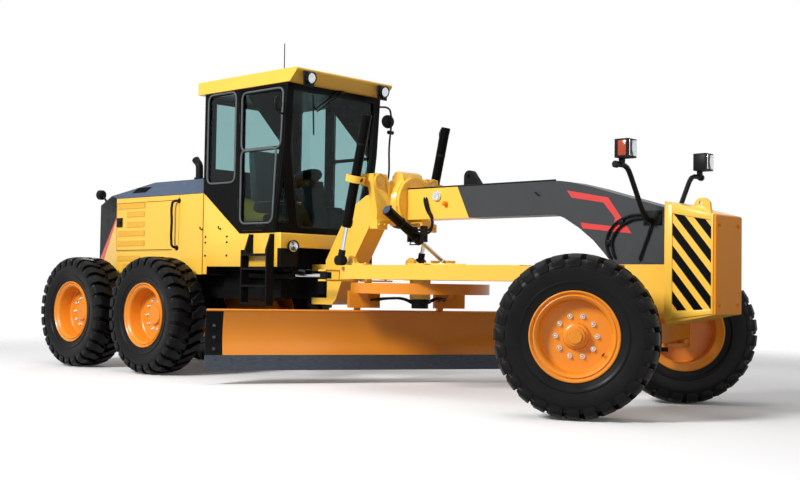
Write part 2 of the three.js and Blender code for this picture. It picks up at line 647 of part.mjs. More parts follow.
// Blade pieces are drawn in the blade's own frame: x ahead of the blade, y along it to the left.
const bladeGroup = new THREE.Group();
bladeGroup.position.set(CIRCLE.x, 0, 0);
bladeGroup.rotation.z = -radians(BLADE.turn);
machine.add(bladeGroup);

function arms() {
  const profile = [[-360, CIRCLE.low + 20], [-600, CIRCLE.low + 20], [-790, 850], [-875, 640], [-875, 330],
    [-860, 312], [-830, 312], [-816, 330], [-816, 640], [-745, 800], [-600, 890], [-440, 905]];
  // A broad plate hangs under the ring's rear and stiffens each arm.
  return SIDES.flatMap(([, s]) => [
    sideProfile(profile, s * 460 - 30, s * 460 + 30),
    block(-520, -440, ...reach(s, 300, 630), 800, CIRCLE.low + 20),
  ]);
}

function circle() {
  const { outer, inner, low, high } = CIRCLE;
  const height = high - low;
  const ring = turned([[outer, 0], [outer, height], [inner, height], [inner, 0], [outer, 0]], 36)
    .rotateX(Math.PI / 2).translate(0, 0, low);
  const pivot = bar([PIVOT.v, -600, PIVOT.z], [PIVOT.v, 600, PIVOT.z], PIVOT.radius + RUNNING, 16);
  const bosses = SIDES.map(([, s]) => bar([PIVOT.v, s * 460 - 30, PIVOT.z], [PIVOT.v, s * 460 + 30, PIVOT.z],
    PIVOT.radius + 16, 16));
  piece('circle', cut(joined(ring, ...arms(), ...bosses), pivot), ORANGE, bladeGroup);
}

// The moldboard's curved section, open forward: the middle stands back of both edges.
function moldboardSection() {
  const { face, thick, top } = BLADE;
  const foot = 255;
  const depth = 78;
  const steps = 8;
  const point = (t, back) => {
    const z = foot + (top - foot) * t;
    const bow = -depth * Math.sin(Math.PI * Math.min(1, t * 0.9 + 0.05));
    return [face + bow + 34 * t - back, z];
  };
  const front = Array.from({ length: steps + 1 }, (_, i) => point(i / steps, 0));
  const rear = Array.from({ length: steps + 1 }, (_, i) => point(i / steps, thick));
  return [...front, ...rear.reverse()];
}

function blade() {
  const half = BLADE.length / 2;
  const from = BLADE.shift - half;
  const to = BLADE.shift + half;
  const rail = (z) => block(BLADE.face - 103, BLADE.face - 55, from + 150, to - 150, z - 16, z + 16);
  const board = joined(sideProfile(moldboardSection(), from, to), rail(600), rail(345));
  piece('moldboard', board, ORANGE, bladeGroup);
  const edge = [[BLADE.face + 18, BLADE.bottom], [BLADE.face + 34, BLADE.bottom], [BLADE.face + 20, 300],
    [BLADE.face - 12, 300]];
  // The board's own section, its face moved forward by the gap, is cut from the edge.
  const clearance = moldboardSection().map(([v, z]) => [v + (v > BLADE.face - 60 ? 0.6 : 0), z]);
  piece('cutting_edge', cut(solid(sideProfile(edge, from - 12, to + 12)),
    sideProfile(clearance, from - 20, to + 20)), STEEL, bladeGroup, 0.5);
  const bracket = (s) => block(PIVOT.v - 20, BLADE.face - 118, s * 340 - 40, s * 340 + 40, 322, 640);
  const carrier = joined(
    bar([PIVOT.v, -500, PIVOT.z], [PIVOT.v, 500, PIVOT.z], PIVOT.radius, 16),
    bracket(-1),
    bracket(1),
  );
  piece('blade_carrier', carrier, BLACK, bladeGroup);
}

// ---------------------------------------------------------------- cylinders
// A cylinder lies along +X in its own frame: the barrel from -above to below, its rod on to the eye.
function cylinderGroup(at, eye) {
  const group = new THREE.Group();
  group.position.set(...at);
  const along = new THREE.Vector3(...eye).sub(new THREE.Vector3(...at));
  group.quaternion.setFromUnitVectors(new THREE.Vector3(1, 0, 0), along.clone().normalize());
  machine.add(group);
  return { group, length: along.length() };
}

function barrelShape(above, below, radius, rod) {
  return cut(
    solid(bar([-above, 0, 0], [below, 0, 0], radius, 16)),
    bar([30 - above, 0, 0], [below - 40, 0, 0], radius - 12, 16),
    bar([below - 60, 0, 0], [below + 20, 0, 0], rod + 1.5, 16),
  );
}

function rodShape(back, length, radius, eyeRadius, piston) {
  return joined(
    bar([back, 0, 0], [length - eyeRadius + 10, 0, 0], radius, 16),
    bar([back, 0, 0], [back + 50, 0, 0], piston, 16),
  );
}

function liftCylinders() {
  for (const [name, s] of SIDES) {
    const at = [RING.x, s * RING.y, RING.z];
    const { group, length } = cylinderGroup(at, [LIFT_EYE.x, s * RING.y, LIFT_EYE.z]);
    const barrel = barrelShape(LIFT.above, LIFT.below, LIFT.barrel, LIFT.rod);
    // The trunnions stand fore and aft of the barrel, square to it.
    const trunnion = cut(solid(bar([0, 0, -84], [0, 0, 84], 17, 16)), bar([-60, 0, 0], [60, 0, 0], 45, 16));
    piece(`lift_barrel_${name}`, barrel.add(trunnion), BLACK, group, 0.35);
    const rod = rodShape(LIFT.below - 660, length, LIFT.rod, 48, 35);
    const eye = bar([length, -25, 0], [length, 25, 0], 48, 16);
    piece(`lift_rod_${name}`, rod.add(solid(eye)), CHROME, group, 0.2, 0.9);
    const ring = new THREE.Group();
    ring.position.set(...at);
    ring.quaternion.copy(group.quaternion);
    machine.add(ring);
    const { bore, outer, height } = RING;
    const section = [[bore, -height], [outer, -height], [outer, height], [bore, height], [bore, -height]];
    const hoop = turned(section, 24).rotateZ(Math.PI / 2);
    const stub = bar([0, -s * 80, 0], [0, -s * (RING.y - 390), 0], 22, 16);
    const hole = bar([0, 0, -120], [0, 0, 120], 19, 16);
    const stubOnly = cut(solid(stub), bar([-50, 0, 0], [50, 0, 0], bore + 4, 24));
    piece(`lift_ring_${name}`, solid(hoop).add(stubOnly).subtract(solid(hole)), YELLOW, ring);
  }
}

function sideShiftCylinder() {
  const { x, y, z } = SIDE_PIVOT;
  const { group, length } = cylinderGroup([x, y, z], [x, SIDE_EYE.y, SIDE_EYE.z]);
  // The trunnion stands fore and aft of the barrel, along the machine's X.
  const fore = new THREE.Vector3(1, 0, 0).applyQuaternion(group.quaternion.clone().invert());
  const across = (reach) => fore.clone().multiplyScalar(reach).toArray();
  const pins = cut(solid(bar(across(-66), across(66), 9)), bar([-60, 0, 0], [58, 0, 0], 42, 16));
  const collar = bar([-45, 0, 0], [59, 0, 0], 56, 16);
  const barrel = barrelShape(530, 60, 48, 22);
  piece('side_shift_barrel', barrel.add(cut(solid(collar), bar([-60, 0, 0], [80, 0, 0], 40, 16))).add(pins),
    BLACK, group, 0.35);
  // The yoke holds the barrel's pins inside and turns in the saddle's ears on stubs of its own.
  const up = new THREE.Vector3(1, 0, 0).cross(fore).toArray();
  const cheek = (s) => {
    const at = (reach, rise) => fore.clone().multiplyScalar(s * reach)
      .addScaledVector(new THREE.Vector3(...up), rise).toArray();
    return [bar(at(60, 0), at(72, 0), 26), bar(at(66, 0), at(66, 80), 6), bar(at(70, 0), at(98, 0), 17)];
  };
  const bridge = bar(
    fore.clone().multiplyScalar(-68).addScaledVector(new THREE.Vector3(...up), 79).toArray(),
    fore.clone().multiplyScalar(68).addScaledVector(new THREE.Vector3(...up), 79).toArray(), 6);
  piece('side_shift_yoke', cut(joined(...cheek(-1), ...cheek(1), bridge), bar(across(-67), across(67), 11)),
    BLACK, group);
  const rod = rodShape(-319, length, 22, 40, 33);
  const eye = bar([length, 0, -22], [length, 0, 22], 36, 16);
  piece('side_shift_rod', rod.add(solid(eye)), CHROME, group, 0.2, 0.9);
}

function bendCylinders() {
  for (const [name, s] of SIDES) {
    const { group, length } = cylinderGroup(
      [BEND_ROOT.x, s * BEND_ROOT.y, BEND_ROOT.z], [BEND_EYE.x, s * BEND_EYE.y, BEND_EYE.z]);
    const collar = bar([0, 0, -38], [0, 0, 38], 46, 16);
    const pinHole = bar([0, 0, -60], [0, 0, 60], 16, 16);
    const barrel = barrelShape(-30, 760, 42, 20).add(solid(collar)).subtract(solid(pinHole));
    piece(`bend_barrel_${name}`, barrel, BLACK, group, 0.35);
    const eye = cut(solid(bar([length, 0, -34], [length, 0, 34], 60, 24)),
      bar([length, 0, -60], [length, 0, 60], 46, 24));
    const rod = cut(rodShape(440, length, 20, 60, 27), bar([length, 0, -60], [length, 0, 60], 53, 24));
    piece(`bend_rod_${name}`, rod.add(eye), CHROME, group, 0.2, 0.9);
  }
}

// ---------------------------------------------------------------- the machine
rearFrame();
tandemCases();
for (const [name, side] of SIDES) {
  wheel(`rear_${name}`, HUB.rearDisc, side, machine, -TANDEM.spread, side * TANDEM.wheelY, TYRE.radius);
  wheel(`middle_${name}`, HUB.rearDisc, side, machine, TANDEM.spread, side * TANDEM.wheelY, TYRE.radius);
}
engineHood();
cabBase();
cab();
cabInside();
ladders();
frontFrame();
noseBlock();
saddle();
frontAxle();
steering();
tieRod();
drawbar();
circle();
blade();
liftCylinders();
sideShiftCylinder();
bendCylinders();

const box = new THREE.Box3().setFromObject(machine, true);
machine.position.set(-(box.min.x + box.max.x) / 2, -(box.min.y + box.max.y) / 2, -box.min.z);
export default machine;
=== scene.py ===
# %% [markdown]
# # Dressing a motor grader
# A motor grader is a long machine: an engine and a cab on a rear frame, a curved front frame
# hinged to it, and a blade carried under that frame on a drawbar and a toothed circle. The packed
# model is the frame to work to. It gives every part its size and its joints, and this notebook
# gives it its looks.

# %% Load the frame
import json
import math
import bmesh
import bpy
from mathutils import Matrix, Vector

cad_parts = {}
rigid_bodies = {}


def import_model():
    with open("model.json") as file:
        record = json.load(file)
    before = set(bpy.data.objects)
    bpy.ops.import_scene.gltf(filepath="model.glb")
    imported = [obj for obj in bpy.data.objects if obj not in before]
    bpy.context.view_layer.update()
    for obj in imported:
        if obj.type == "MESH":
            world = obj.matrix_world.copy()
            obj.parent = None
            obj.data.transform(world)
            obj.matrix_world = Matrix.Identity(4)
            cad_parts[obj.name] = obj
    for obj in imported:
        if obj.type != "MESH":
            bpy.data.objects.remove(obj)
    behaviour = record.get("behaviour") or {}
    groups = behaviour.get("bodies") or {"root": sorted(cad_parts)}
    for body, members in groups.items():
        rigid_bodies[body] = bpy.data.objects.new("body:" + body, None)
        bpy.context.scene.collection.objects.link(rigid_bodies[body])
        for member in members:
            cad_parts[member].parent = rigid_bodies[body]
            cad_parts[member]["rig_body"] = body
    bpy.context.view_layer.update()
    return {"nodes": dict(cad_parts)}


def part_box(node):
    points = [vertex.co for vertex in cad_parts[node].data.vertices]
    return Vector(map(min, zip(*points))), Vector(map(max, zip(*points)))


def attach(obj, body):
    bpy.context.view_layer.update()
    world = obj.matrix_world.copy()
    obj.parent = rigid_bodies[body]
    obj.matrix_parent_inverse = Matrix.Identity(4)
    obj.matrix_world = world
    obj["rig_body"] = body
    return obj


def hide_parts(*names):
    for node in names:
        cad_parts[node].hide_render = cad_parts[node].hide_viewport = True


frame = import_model()

# %% [markdown]
# ## Where things are
# Measures on the machine are taken from the middle of the tandem axle, on the ground: X runs
# forward, Y to the driver's left and Z up, in metres. The two tandem cases stand evenly about that
# point, so the point is read from their boxes, and everything after this line follows the frame.

# %% The machine's own origin
SIDES = (("right", -1), ("left", 1))


def middle_of(node):
    low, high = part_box(node)
    return (low + high) / 2


CASES = [middle_of(f"tandem_case_{side}") for side, _ in SIDES]
ORIGIN = Vector((CASES[0].x, (CASES[0].y + CASES[1].y) / 2, 0))


def at(x, y, z):
    return ORIGIN + Vector((x, y, z))


print("origin in the row frame:", [round(value, 3) for value in ORIGIN])

# %% [markdown]
# ## Camera and studio
# The machine is seen from low down off its right front corner, with a slightly long lens. Soft
# boxes stand to its right and above, so its flanks are bright and its front faces fall into shade.
# The floor and the world show white to the camera, and the floor keeps the shadow.

# %% Camera
EYE = at(11.66, -8.716, 1.052)
YAW, PITCH, ROLL = (math.radians(angle) for angle in (132.82, 2.18, 0.89))
LENS, SENSOR = 52.05, 36.0

ahead = Vector((math.cos(YAW) * math.cos(PITCH), math.sin(YAW) * math.cos(PITCH), math.sin(PITCH)))
across = Vector((math.sin(YAW), -math.cos(YAW), 0))
upward = across.cross(ahead)
camera_x = across * math.cos(ROLL) + upward * math.sin(ROLL)
camera_y = upward * math.cos(ROLL) - across * math.sin(ROLL)
camera = bpy.data.objects.new("camera", bpy.data.cameras.new("camera"))
bpy.context.scene.collection.objects.link(camera)
facing = Matrix((camera_x, camera_y, -ahead)).transposed().to_4x4()
camera.matrix_world = Matrix.Translation(EYE) @ facing
camera.data.lens = LENS
camera.data.sensor_width = SENSOR
camera.data.clip_end = 200
bpy.context.scene.camera = camera
print("camera lens:", LENS, "mm, eye", round(EYE.z, 2), "m above the ground")

# %% Soft boxes
MIDDLE = at(2.9, 0, 1.0)


def soft_box(name, place, size, power):
    lamp = bpy.data.lights.new(name, "AREA")
    lamp.shape = "DISK"
    lamp.size = size
    lamp.energy = power
    holder = bpy.data.objects.new(name, lamp)
    bpy.context.scene.collection.objects.link(holder)
    holder.location = place
    holder.rotation_euler = (MIDDLE - place).to_track_quat("-Z", "Y").to_euler()
    # a box behind the machine would otherwise shine through the cab's windows
    holder.visible_camera = holder.visible_transmission = False


# name, place on the machine, diameter in metres, power in watts
SOFT_BOXES = (
    ("key", (3.0, -12.5, 8.5), 4.0, 2100),
    ("top", (3.5, -1, 11), 8.0, 250),
    ("front_fill", (13, -4, 4.5), 6.0, 110),
    ("rear_rim", (-8, 7, 7), 5.0, 350),
)
for name, spot, size, power in SOFT_BOXES:
    soft_box(name, at(*spot), size, power)
print("soft boxes:", len(SOFT_BOXES))

# %% [markdown]
# ## Small tools for materials
# Every finish below is a Principled shader fed by a few texture nodes. Colours are written as the
# hex values a painter would match on a screen, and one function turns them into the linear values
# that the renderer works in. One more function adds a node with its settings and its links.

# %% Node helpers
def linear(code):
    """A hex colour as the linear values that a shader takes."""
    channels = [int(code[i:i + 2], 16) / 255 for i in (1, 3, 5)]
    return (*(c / 12.92 if c <= 0.04045 else ((c + 0.055) / 1.055) ** 2.4 for c in channels), 1.0)


def add(tree, kind, settings=None, inputs=None):
    node = tree.nodes.new(kind)
    for name, value in (settings or {}).items():
        setattr(node, name, value)
    for key, value in (inputs or {}).items():
        if isinstance(value, bpy.types.NodeSocket):
            tree.links.new(value, node.inputs[key])
        else:
            node.inputs[key].default_value = value
    return node


def blank(name):
    material = bpy.data.materials.new(name)
    material.use_nodes = True
    material.node_tree.nodes.clear()
    return material, material.node_tree


def per_metre(size_mm):
    return 1000 / size_mm


# %% World and floor
world = bpy.data.worlds.new("studio")
bpy.context.scene.world = world
world.use_nodes = True
tree = world.node_tree
tree.nodes.clear()


def seen_directly(tree):
    """1 where the camera sees a surface, straight or in a mirror or through glass."""
    path = add(tree, "ShaderNodeLightPath")
    either = add(tree, "ShaderNodeMath", {"operation": "MAXIMUM"},
                 {0: path.outputs["Is Camera Ray"], 1: path.outputs["Is Glossy Ray"]})
    return add(tree, "ShaderNodeMath", {"operation": "MAXIMUM"},
               {0: either.outputs[0], 1: path.outputs["Is Transmission Ray"]}).outputs[0]


AMBIENT = 0.25
shine = add(tree, "ShaderNodeMix", {"data_type": "FLOAT"},
            {"Factor": seen_directly(tree), "A": AMBIENT, "B": 1.0})
sky = add(tree, "ShaderNodeBackground", None,
          {"Color": linear("#FFFFFF"), "Strength": shine.outputs["Result"]})
add(tree, "ShaderNodeOutputWorld", None, {"Surface": sky.outputs[0]})

# The floor is white where it is seen, throws back only a little light, and fades into the white
# background a few metres past the machine.
FLOOR_GLOW, FADE_FROM, FADE_TO = 0.04, 6.5, 11.0
FLOOR_HALF, FLOOR_DROP = 60, 0.001
floor_finish, tree = blank("matt_white_studio_floor")
seen = seen_directly(tree)
place = add(tree, "ShaderNodeTexCoord").outputs["Object"]
glow = add(tree, "ShaderNodeMath", {"operation": "MULTIPLY"}, {0: seen, 1: FLOOR_GLOW})
grain = add(tree, "ShaderNodeTexNoise", None, {"Vector": place, "Scale": 0.4})
paper_tone = add(tree, "ShaderNodeMix", {"data_type": "RGBA"},
                 {"Factor": grain.outputs["Fac"], "A": linear("#F2F2F2"), "B": linear("#F8F8F8")})
tone = add(tree, "ShaderNodeMix", {"data_type": "RGBA"},
           {"Factor": seen, "A": linear("#8C8C8C"), "B": paper_tone.outputs["Result"]})
paper = add(tree, "ShaderNodeBsdfDiffuse", None, {"Color": tone.outputs["Result"]})
light = add(tree, "ShaderNodeEmission", None, {"Strength": glow.outputs[0]})
both = add(tree, "ShaderNodeAddShader", None, {0: paper.outputs[0], 1: light.outputs[0]})
distance = add(tree, "ShaderNodeVectorMath", {"operation": "LENGTH"}, {0: place})
fade = add(tree, "ShaderNodeMapRange", {"interpolation_type": "SMOOTHSTEP"},
           {"Value": distance.outputs["Value"], "From Min": FADE_FROM, "From Max": FADE_TO})
clear_air = add(tree, "ShaderNodeBsdfTransparent", None, {"Color": linear("#FFFFFF")})
faded = add(tree, "ShaderNodeMixShader", None,
            {0: fade.outputs["Result"], 1: both.outputs[0], 2: clear_air.outputs[0]})
add(tree, "ShaderNodeOutputMaterial", None, {"Surface": faded.outputs[0]})

bm = bmesh.new()
bmesh.ops.create_grid(bm, x_segments=1, y_segments=1, size=FLOOR_HALF)
mesh = bpy.data.meshes.new("studio_floor")
bm.to_mesh(mesh)
bm.free()
floor = bpy.data.objects.new("studio_floor", mesh)
bpy.context.scene.collection.objects.link(floor)
mesh.materials.append(floor_finish)
floor.location = (0, 0, -FLOOR_DROP)
bpy.context.scene.view_settings.view_transform = "Standard"
print("floor fades out between", FADE_FROM, "and", FADE_TO, "m from the middle")

# %% [markdown]
# ## Enamel, rubber, steel and glass
# Machine paint is a two-pack enamel sprayed on the bare weldments. It lies in a skin with a faint
# orange peel, its tone drifts a little from panel to panel, and dust dulls its gloss in patches.
# The same recipe, with other numbers, gives the satin blacks and the grey of the front frame.

# %% Enamels
def enamel(name, colour, shade, roughness, peel_mm=6.0, peel=0.05, coat=0.25, gleam=0.4):
    material, tree = blank(name)
    place = add(tree, "ShaderNodeTexCoord").outputs["Object"]
    # the tone drifts over lengths of half a metre
    drift = add(tree, "ShaderNodeTexNoise", None,
                {"Vector": place, "Scale": per_metre(500), "Detail": 3.0})
    tone = add(tree, "ShaderNodeMix", {"data_type": "RGBA"},
               {"Factor": drift.outputs["Fac"], "A": linear(shade), "B": linear(colour)})
    # fine dust dulls the gloss in patches a hand wide
    dust = add(tree, "ShaderNodeTexNoise", None,
               {"Vector": place, "Scale": per_metre(90), "Detail": 6.0, "Roughness": 0.65})
    gloss = add(tree, "ShaderNodeMapRange", None,
                {"Value": dust.outputs["Fac"], "From Min": 0.3, "From Max": 0.75,
                 "To Min": roughness - 0.05, "To Max": roughness + 0.10})
    skin = add(tree, "ShaderNodeTexNoise", None, {"Vector": place, "Scale": per_metre(peel_mm)})
    bump = add(tree, "ShaderNodeBump", None,
               {"Strength": peel, "Distance": 0.001, "Height": skin.outputs["Fac"]})
    shader = add(tree, "ShaderNodeBsdfPrincipled", None, {
        "Base Color": tone.outputs["Result"], "Roughness": gloss.outputs["Result"],
        "Normal": bump.outputs[0], "Specular IOR Level": gleam, "Coat Weight": coat,
        "Coat Roughness": 0.12})
    add(tree, "ShaderNodeOutputMaterial", None, {"Surface": shader.outputs[0]})
    return material


# Sprayed two-pack enamel: bright, warm, glossy enough to hold soft highlights.
yellow = enamel("yellow_two_pack_enamel", "#FBC84C", "#F8C143", 0.32, coat=0.15)
# The wheels, blade and circle wear a deeper orange coat of the same paint.
orange = enamel("orange_two_pack_enamel", "#EC9124", "#E3871B", 0.34, coat=0.1)
# The nose plate's shaded coat: the orange made a little browner, as painted shade for the
# front face, which turns away from the key.
amber_painted_shade = enamel("amber_enamel_painted_shade", "#EE9214", "#E68A0F", 0.40, coat=0.0, gleam=0.15)
# The hood's top in a slightly blue slate grey.
slate = enamel("slate_grey_enamel", "#4A576C", "#435064", 0.50, coat=0.0, gleam=0.12)
# The front frame in charcoal satin.
charcoal = enamel("charcoal_satin_enamel", "#404244", "#393B3D", 0.40, coat=0.0, gleam=0.2)
# The cab shell and doors in black satin.
black = enamel("black_satin_enamel", "#090909", "#0C0C0D", 0.36, coat=0.0, gleam=0.05)
# Hidden weldments in a flatter chassis black.
chassis = enamel("chassis_black_enamel", "#111112", "#161617", 0.50, coat=0.0, gleam=0.05)
# Signal red film, cut and laid on the paint.
red = enamel("red_vinyl_film", "#DB3A36", "#D63430", 0.35, coat=0.3)
# A darker yellow for the plates of the louvres' pressed bands: painted shade for the recesses
# between the ridges.
louvre_painted_shade = enamel("yellow_enamel_painted_shade_in_louvre", "#D9A43A", "#CF9A30", 0.45, coat=0.0)
print("enamels and films: 9")

# %% [markdown]
# Tyre rubber is black with a trace of brown, dull in its pores and shiny where the mould was
# polished. Chromed rods are hard chrome ground to a mirror, with the finest rings round them. The
# cutting edge is rolled steel with a slate bloom. Black plastic for lamps and handles has a
# moulded grain.

# %% Rubber, metals and plastics
def rubber(name, colour, worn, roughness):
    material, tree = blank(name)
    place = add(tree, "ShaderNodeTexCoord").outputs["Object"]
    scuffs = add(tree, "ShaderNodeTexNoise", None,
                 {"Vector": place, "Scale": per_metre(160), "Detail": 5.0})
    tone = add(tree, "ShaderNodeMix", {"data_type": "RGBA"},
               {"Factor": scuffs.outputs["Fac"], "A": linear(colour), "B": linear(worn)})
    gloss = add(tree, "ShaderNodeMapRange", None,
                {"Value": scuffs.outputs["Fac"], "From Min": 0.3, "From Max": 0.7,
                 "To Min": roughness - 0.08, "To Max": roughness + 0.12})
    pores = add(tree, "ShaderNodeTexNoise", None,
                {"Vector": place, "Scale": per_metre(12), "Detail": 4.0})
    bump = add(tree, "ShaderNodeBump", None,
               {"Strength": 0.12, "Distance": 0.002, "Height": pores.outputs["Fac"]})
    shader = add(tree, "ShaderNodeBsdfPrincipled", None, {
        "Base Color": tone.outputs["Result"], "Roughness": gloss.outputs["Result"],
        "Normal": bump.outputs[0], "Specular IOR Level": 0.12})
    add(tree, "ShaderNodeOutputMaterial", None, {"Surface": shader.outputs[0]})
    return material


def metal(name, colour, shade, roughness, grain_mm, stretch=(1, 1, 1), strength=0.08):
    material, tree = blank(name)
    place = add(tree, "ShaderNodeTexCoord").outputs["Object"]
    run = add(tree, "ShaderNodeMapping", None, {"Vector": place, "Scale": stretch})
    grain = add(tree, "ShaderNodeTexNoise", None,
                {"Vector": run.outputs[0], "Scale": per_metre(grain_mm), "Detail": 4.0})
    tone = add(tree, "ShaderNodeMix", {"data_type": "RGBA"},
               {"Factor": grain.outputs["Fac"], "A": linear(colour), "B": linear(shade)})
    gloss = add(tree, "ShaderNodeMapRange", None,
                {"Value": grain.outputs["Fac"], "From Min": 0.3, "From Max": 0.7,
                 "To Min": roughness * 0.8, "To Max": roughness * 1.25})
    bump = add(tree, "ShaderNodeBump", None,
               {"Strength": strength, "Distance": 0.001, "Height": grain.outputs["Fac"]})
    shader = add(tree, "ShaderNodeBsdfPrincipled", None, {
        "Base Color": tone.outputs["Result"], "Roughness": gloss.outputs["Result"],
        "Normal": bump.outputs[0], "Metallic": 1.0})
    add(tree, "ShaderNodeOutputMaterial", None, {"Surface": shader.outputs[0]})
    return material


# Carbon-black rubber, dressed so that its lugs shine a little.
tyre_rubber = rubber("moulded_tyre_rubber", "#0B0B0C", "#151516", 0.36)
# Hose and seal rubber, flatter.
hose_rubber = rubber("extruded_hose_rubber", "#0D0D0D", "#151516", 0.5)
# The window seals' grey face.
seal_rubber = rubber("grey_window_seal_rubber", "#55585A", "#686B6C", 0.5)
# Hard chrome on the cylinder rods, with polishing rings too fine to see drawn at 3 mm.
chrome = metal("hard_chrome_plate", "#D9DCDF", "#C2C6CA", 0.12, 3, (1, 1, 12), 0.03)
# Bright zinc on nuts and washers.
zinc = metal("bright_zinc_plate", "#E4E6E8", "#C8CBCE", 0.28, 20)
# Rolled wear steel with its blue-grey bloom.
edge_steel = metal("rolled_edge_steel", "#4A4F57", "#3A3F47", 0.5, 60, (1, 1, 4), 0.15)
# Polished lamp reflector.
reflector = metal("vacuum_metalled_reflector", "#E8EAEC", "#D4D8DC", 0.1, 40)
# Grained black polypropylene.
plastic = rubber("grained_black_polypropylene", "#101011", "#171718", 0.45)
# Blackened cast iron of eyes and clevises.
cast_iron = enamel("black_painted_casting", "#111112", "#171718", 0.45, peel_mm=3.0, peel=0.25,
                   coat=0.0, gleam=0.1)
print("rubbers, metals, plastic and casting: 9")

# %% [markdown]
# Cab glass is float glass tinted green in the melt. It mirrors a little, and what lies behind it
# shows through darker and bluer. A pane stops lamps in a path tracer unless it's told not to, so
# shadow rays pass it with the same tint. The lamp lenses are polycarbonate made the same way.

# %% Glass and lenses
def clear(name, tint, lamp_tint, roughness=0.0, ior=1.45):
    material, tree = blank(name)
    place = add(tree, "ShaderNodeTexCoord").outputs["Object"]
    wave = add(tree, "ShaderNodeTexNoise", None, {"Vector": place, "Scale": per_metre(400)})
    tone = add(tree, "ShaderNodeMix", {"data_type": "RGBA"},
               {"Factor": wave.outputs["Fac"], "A": linear(tint), "B": linear(lamp_tint)})
    glass = add(tree, "ShaderNodeBsdfPrincipled", None, {
        "Base Color": tone.outputs["Result"], "Roughness": roughness,
        "Transmission Weight": 1.0, "IOR": ior})
    passed = add(tree, "ShaderNodeBsdfTransparent", None, {"Color": linear(lamp_tint)})
    path = add(tree, "ShaderNodeLightPath")
    mix = add(tree, "ShaderNodeMixShader", None,
              {0: path.outputs["Is Shadow Ray"], 1: glass.outputs[0], 2: passed.outputs[0]})
    add(tree, "ShaderNodeOutputMaterial", None, {"Surface": mix.outputs[0]})
    return material


# A flat pane shifts nothing behind it, so its index is set low and the edges stay quiet.
cab_glass = clear("green_tinted_float_glass", "#B4CECE", "#BDD5D5", ior=1.2)
# Clear lamp glass in polycarbonate, just hazy enough to spread the light.
lens_glass = clear("clear_ribbed_polycarbonate", "#F2F5F6", "#FFFFFF", 0.05)
# Coloured lenses are dyed right through, so that unlit they look like a glossy solid.
amber_lens = enamel("amber_indicator_polycarbonate", "#B8410F", "#96310A", 0.18, peel=0.3, coat=0.3)
red_lens = enamel("red_tail_lamp_polycarbonate", "#B3161A", "#8F1014", 0.18, peel=0.3, coat=0.6)

# %% [markdown]
# The seat is covered in a plain weave of charcoal yarn. Two sets of bands, one for the warp and
# one for the weft, are multiplied into a weave. Real yarn is too fine to show here, so it is drawn
# at 4 mm.

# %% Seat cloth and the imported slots
YARN_MM = 4.0


def woven(name, dark, light_yarn):
    material, tree = blank(name)
    place = add(tree, "ShaderNodeTexCoord").outputs["Object"]
    warp = add(tree, "ShaderNodeTexWave", {"bands_direction": "X"},
               {"Vector": place, "Scale": per_metre(YARN_MM) / 6})
    weft = add(tree, "ShaderNodeTexWave", {"bands_direction": "Z"},
               {"Vector": place, "Scale": per_metre(YARN_MM) / 6})
    cross = add(tree, "ShaderNodeMath", {"operation": "MULTIPLY"},
                {0: warp.outputs["Fac"], 1: weft.outputs["Fac"]})
    tone = add(tree, "ShaderNodeMix", {"data_type": "RGBA"},
               {"Factor": cross.outputs[0], "A": linear(dark), "B": linear(light_yarn)})
    bump = add(tree, "ShaderNodeBump", None,
               {"Strength": 0.4, "Distance": 0.002, "Height": cross.outputs[0]})
    shader = add(tree, "ShaderNodeBsdfPrincipled", None, {
        "Base Color": tone.outputs["Result"], "Roughness": 0.85, "Normal": bump.outputs[0],
        "Sheen Weight": 0.3})
    add(tree, "ShaderNodeOutputMaterial", None, {"Surface": shader.outputs[0]})
    return material


seat_cloth = woven("charcoal_woven_seat_cloth", "#1D1E20", "#3A3C40")

# %% [markdown]
# ## Small tools for shapes
# Each helper starts from one of bmesh's own shapes or a few points, and lets an operator do the
# rest: a slab is an outline that is extruded, a turned piece is a profile that is spun, a pipe is
# a path with a round section. `make` ends every piece in the same way: normals out, shading by
# angle, a material, and a body to ride on.

# %% Blocks with broken edges
def round_edges(bm, edges, offset, segments=1):
    bmesh.ops.bevel(bm, geom=list(edges), offset=offset, offset_type="OFFSET", segments=segments,
                    profile=0.5, affect="EDGES", clamp_overlap=True, material=-1)


def finish_solid(bm, verts, bevel, paint, segments=2):
    """Paints a new solid, and breaks the edges where its faces meet at more than 30 degrees."""
    faces = {face for vert in verts for face in vert.link_faces}
    for face in faces:
        face.material_index = paint
    if bevel > 0:
        edges = {edge for face in faces for edge in face.edges
                 if len(edge.link_faces) == 2 and edge.calc_face_angle(0) > math.radians(30)}
        round_edges(bm, edges, bevel, segments)


def block(bm, place, size, bevel=0.0, paint=0):
    """A block of a size, with its middle at a place given as a matrix."""
    matrix = place @ Matrix.Diagonal((*size, 1))
    verts = bmesh.ops.create_cube(bm, size=1, matrix=matrix)["verts"]
    finish_solid(bm, verts, bevel, paint)


def box(bm, low, high, bevel=0.004, paint=0):
    """A block between two corners on the machine."""
    low, high = at(*low), at(*high)
    size = high - low
    block(bm, Matrix.Translation((low + high) / 2), size, min(bevel, min(size) * 0.4), paint)


def slab(bm, outline, plane, start, end, bevel=0.003, paint=0):
    """An outline in two of the machine's directions, drawn out along the third."""
    lift = {"x": lambda a, b, c: (c, a, b), "y": lambda a, b, c: (a, c, b),
            "z": lambda a, b, c: (a, b, c)}[plane]
    verts = [bm.verts.new(at(*lift(a, b, start))) for a, b in outline]
    face = bm.faces.new(verts)
    grown = bmesh.ops.extrude_face_region(bm, geom=[face])["geom"]
    far = [item for item in grown if isinstance(item, bmesh.types.BMVert)]
    bmesh.ops.translate(bm, verts=far, vec=Vector(lift(0, 0, end - start)))
    bmesh.ops.recalc_face_normals(bm, faces=list({f for v in verts + far for f in v.link_faces}))
    finish_solid(bm, verts + far, min(bevel, abs(end - start) * 0.4), paint)


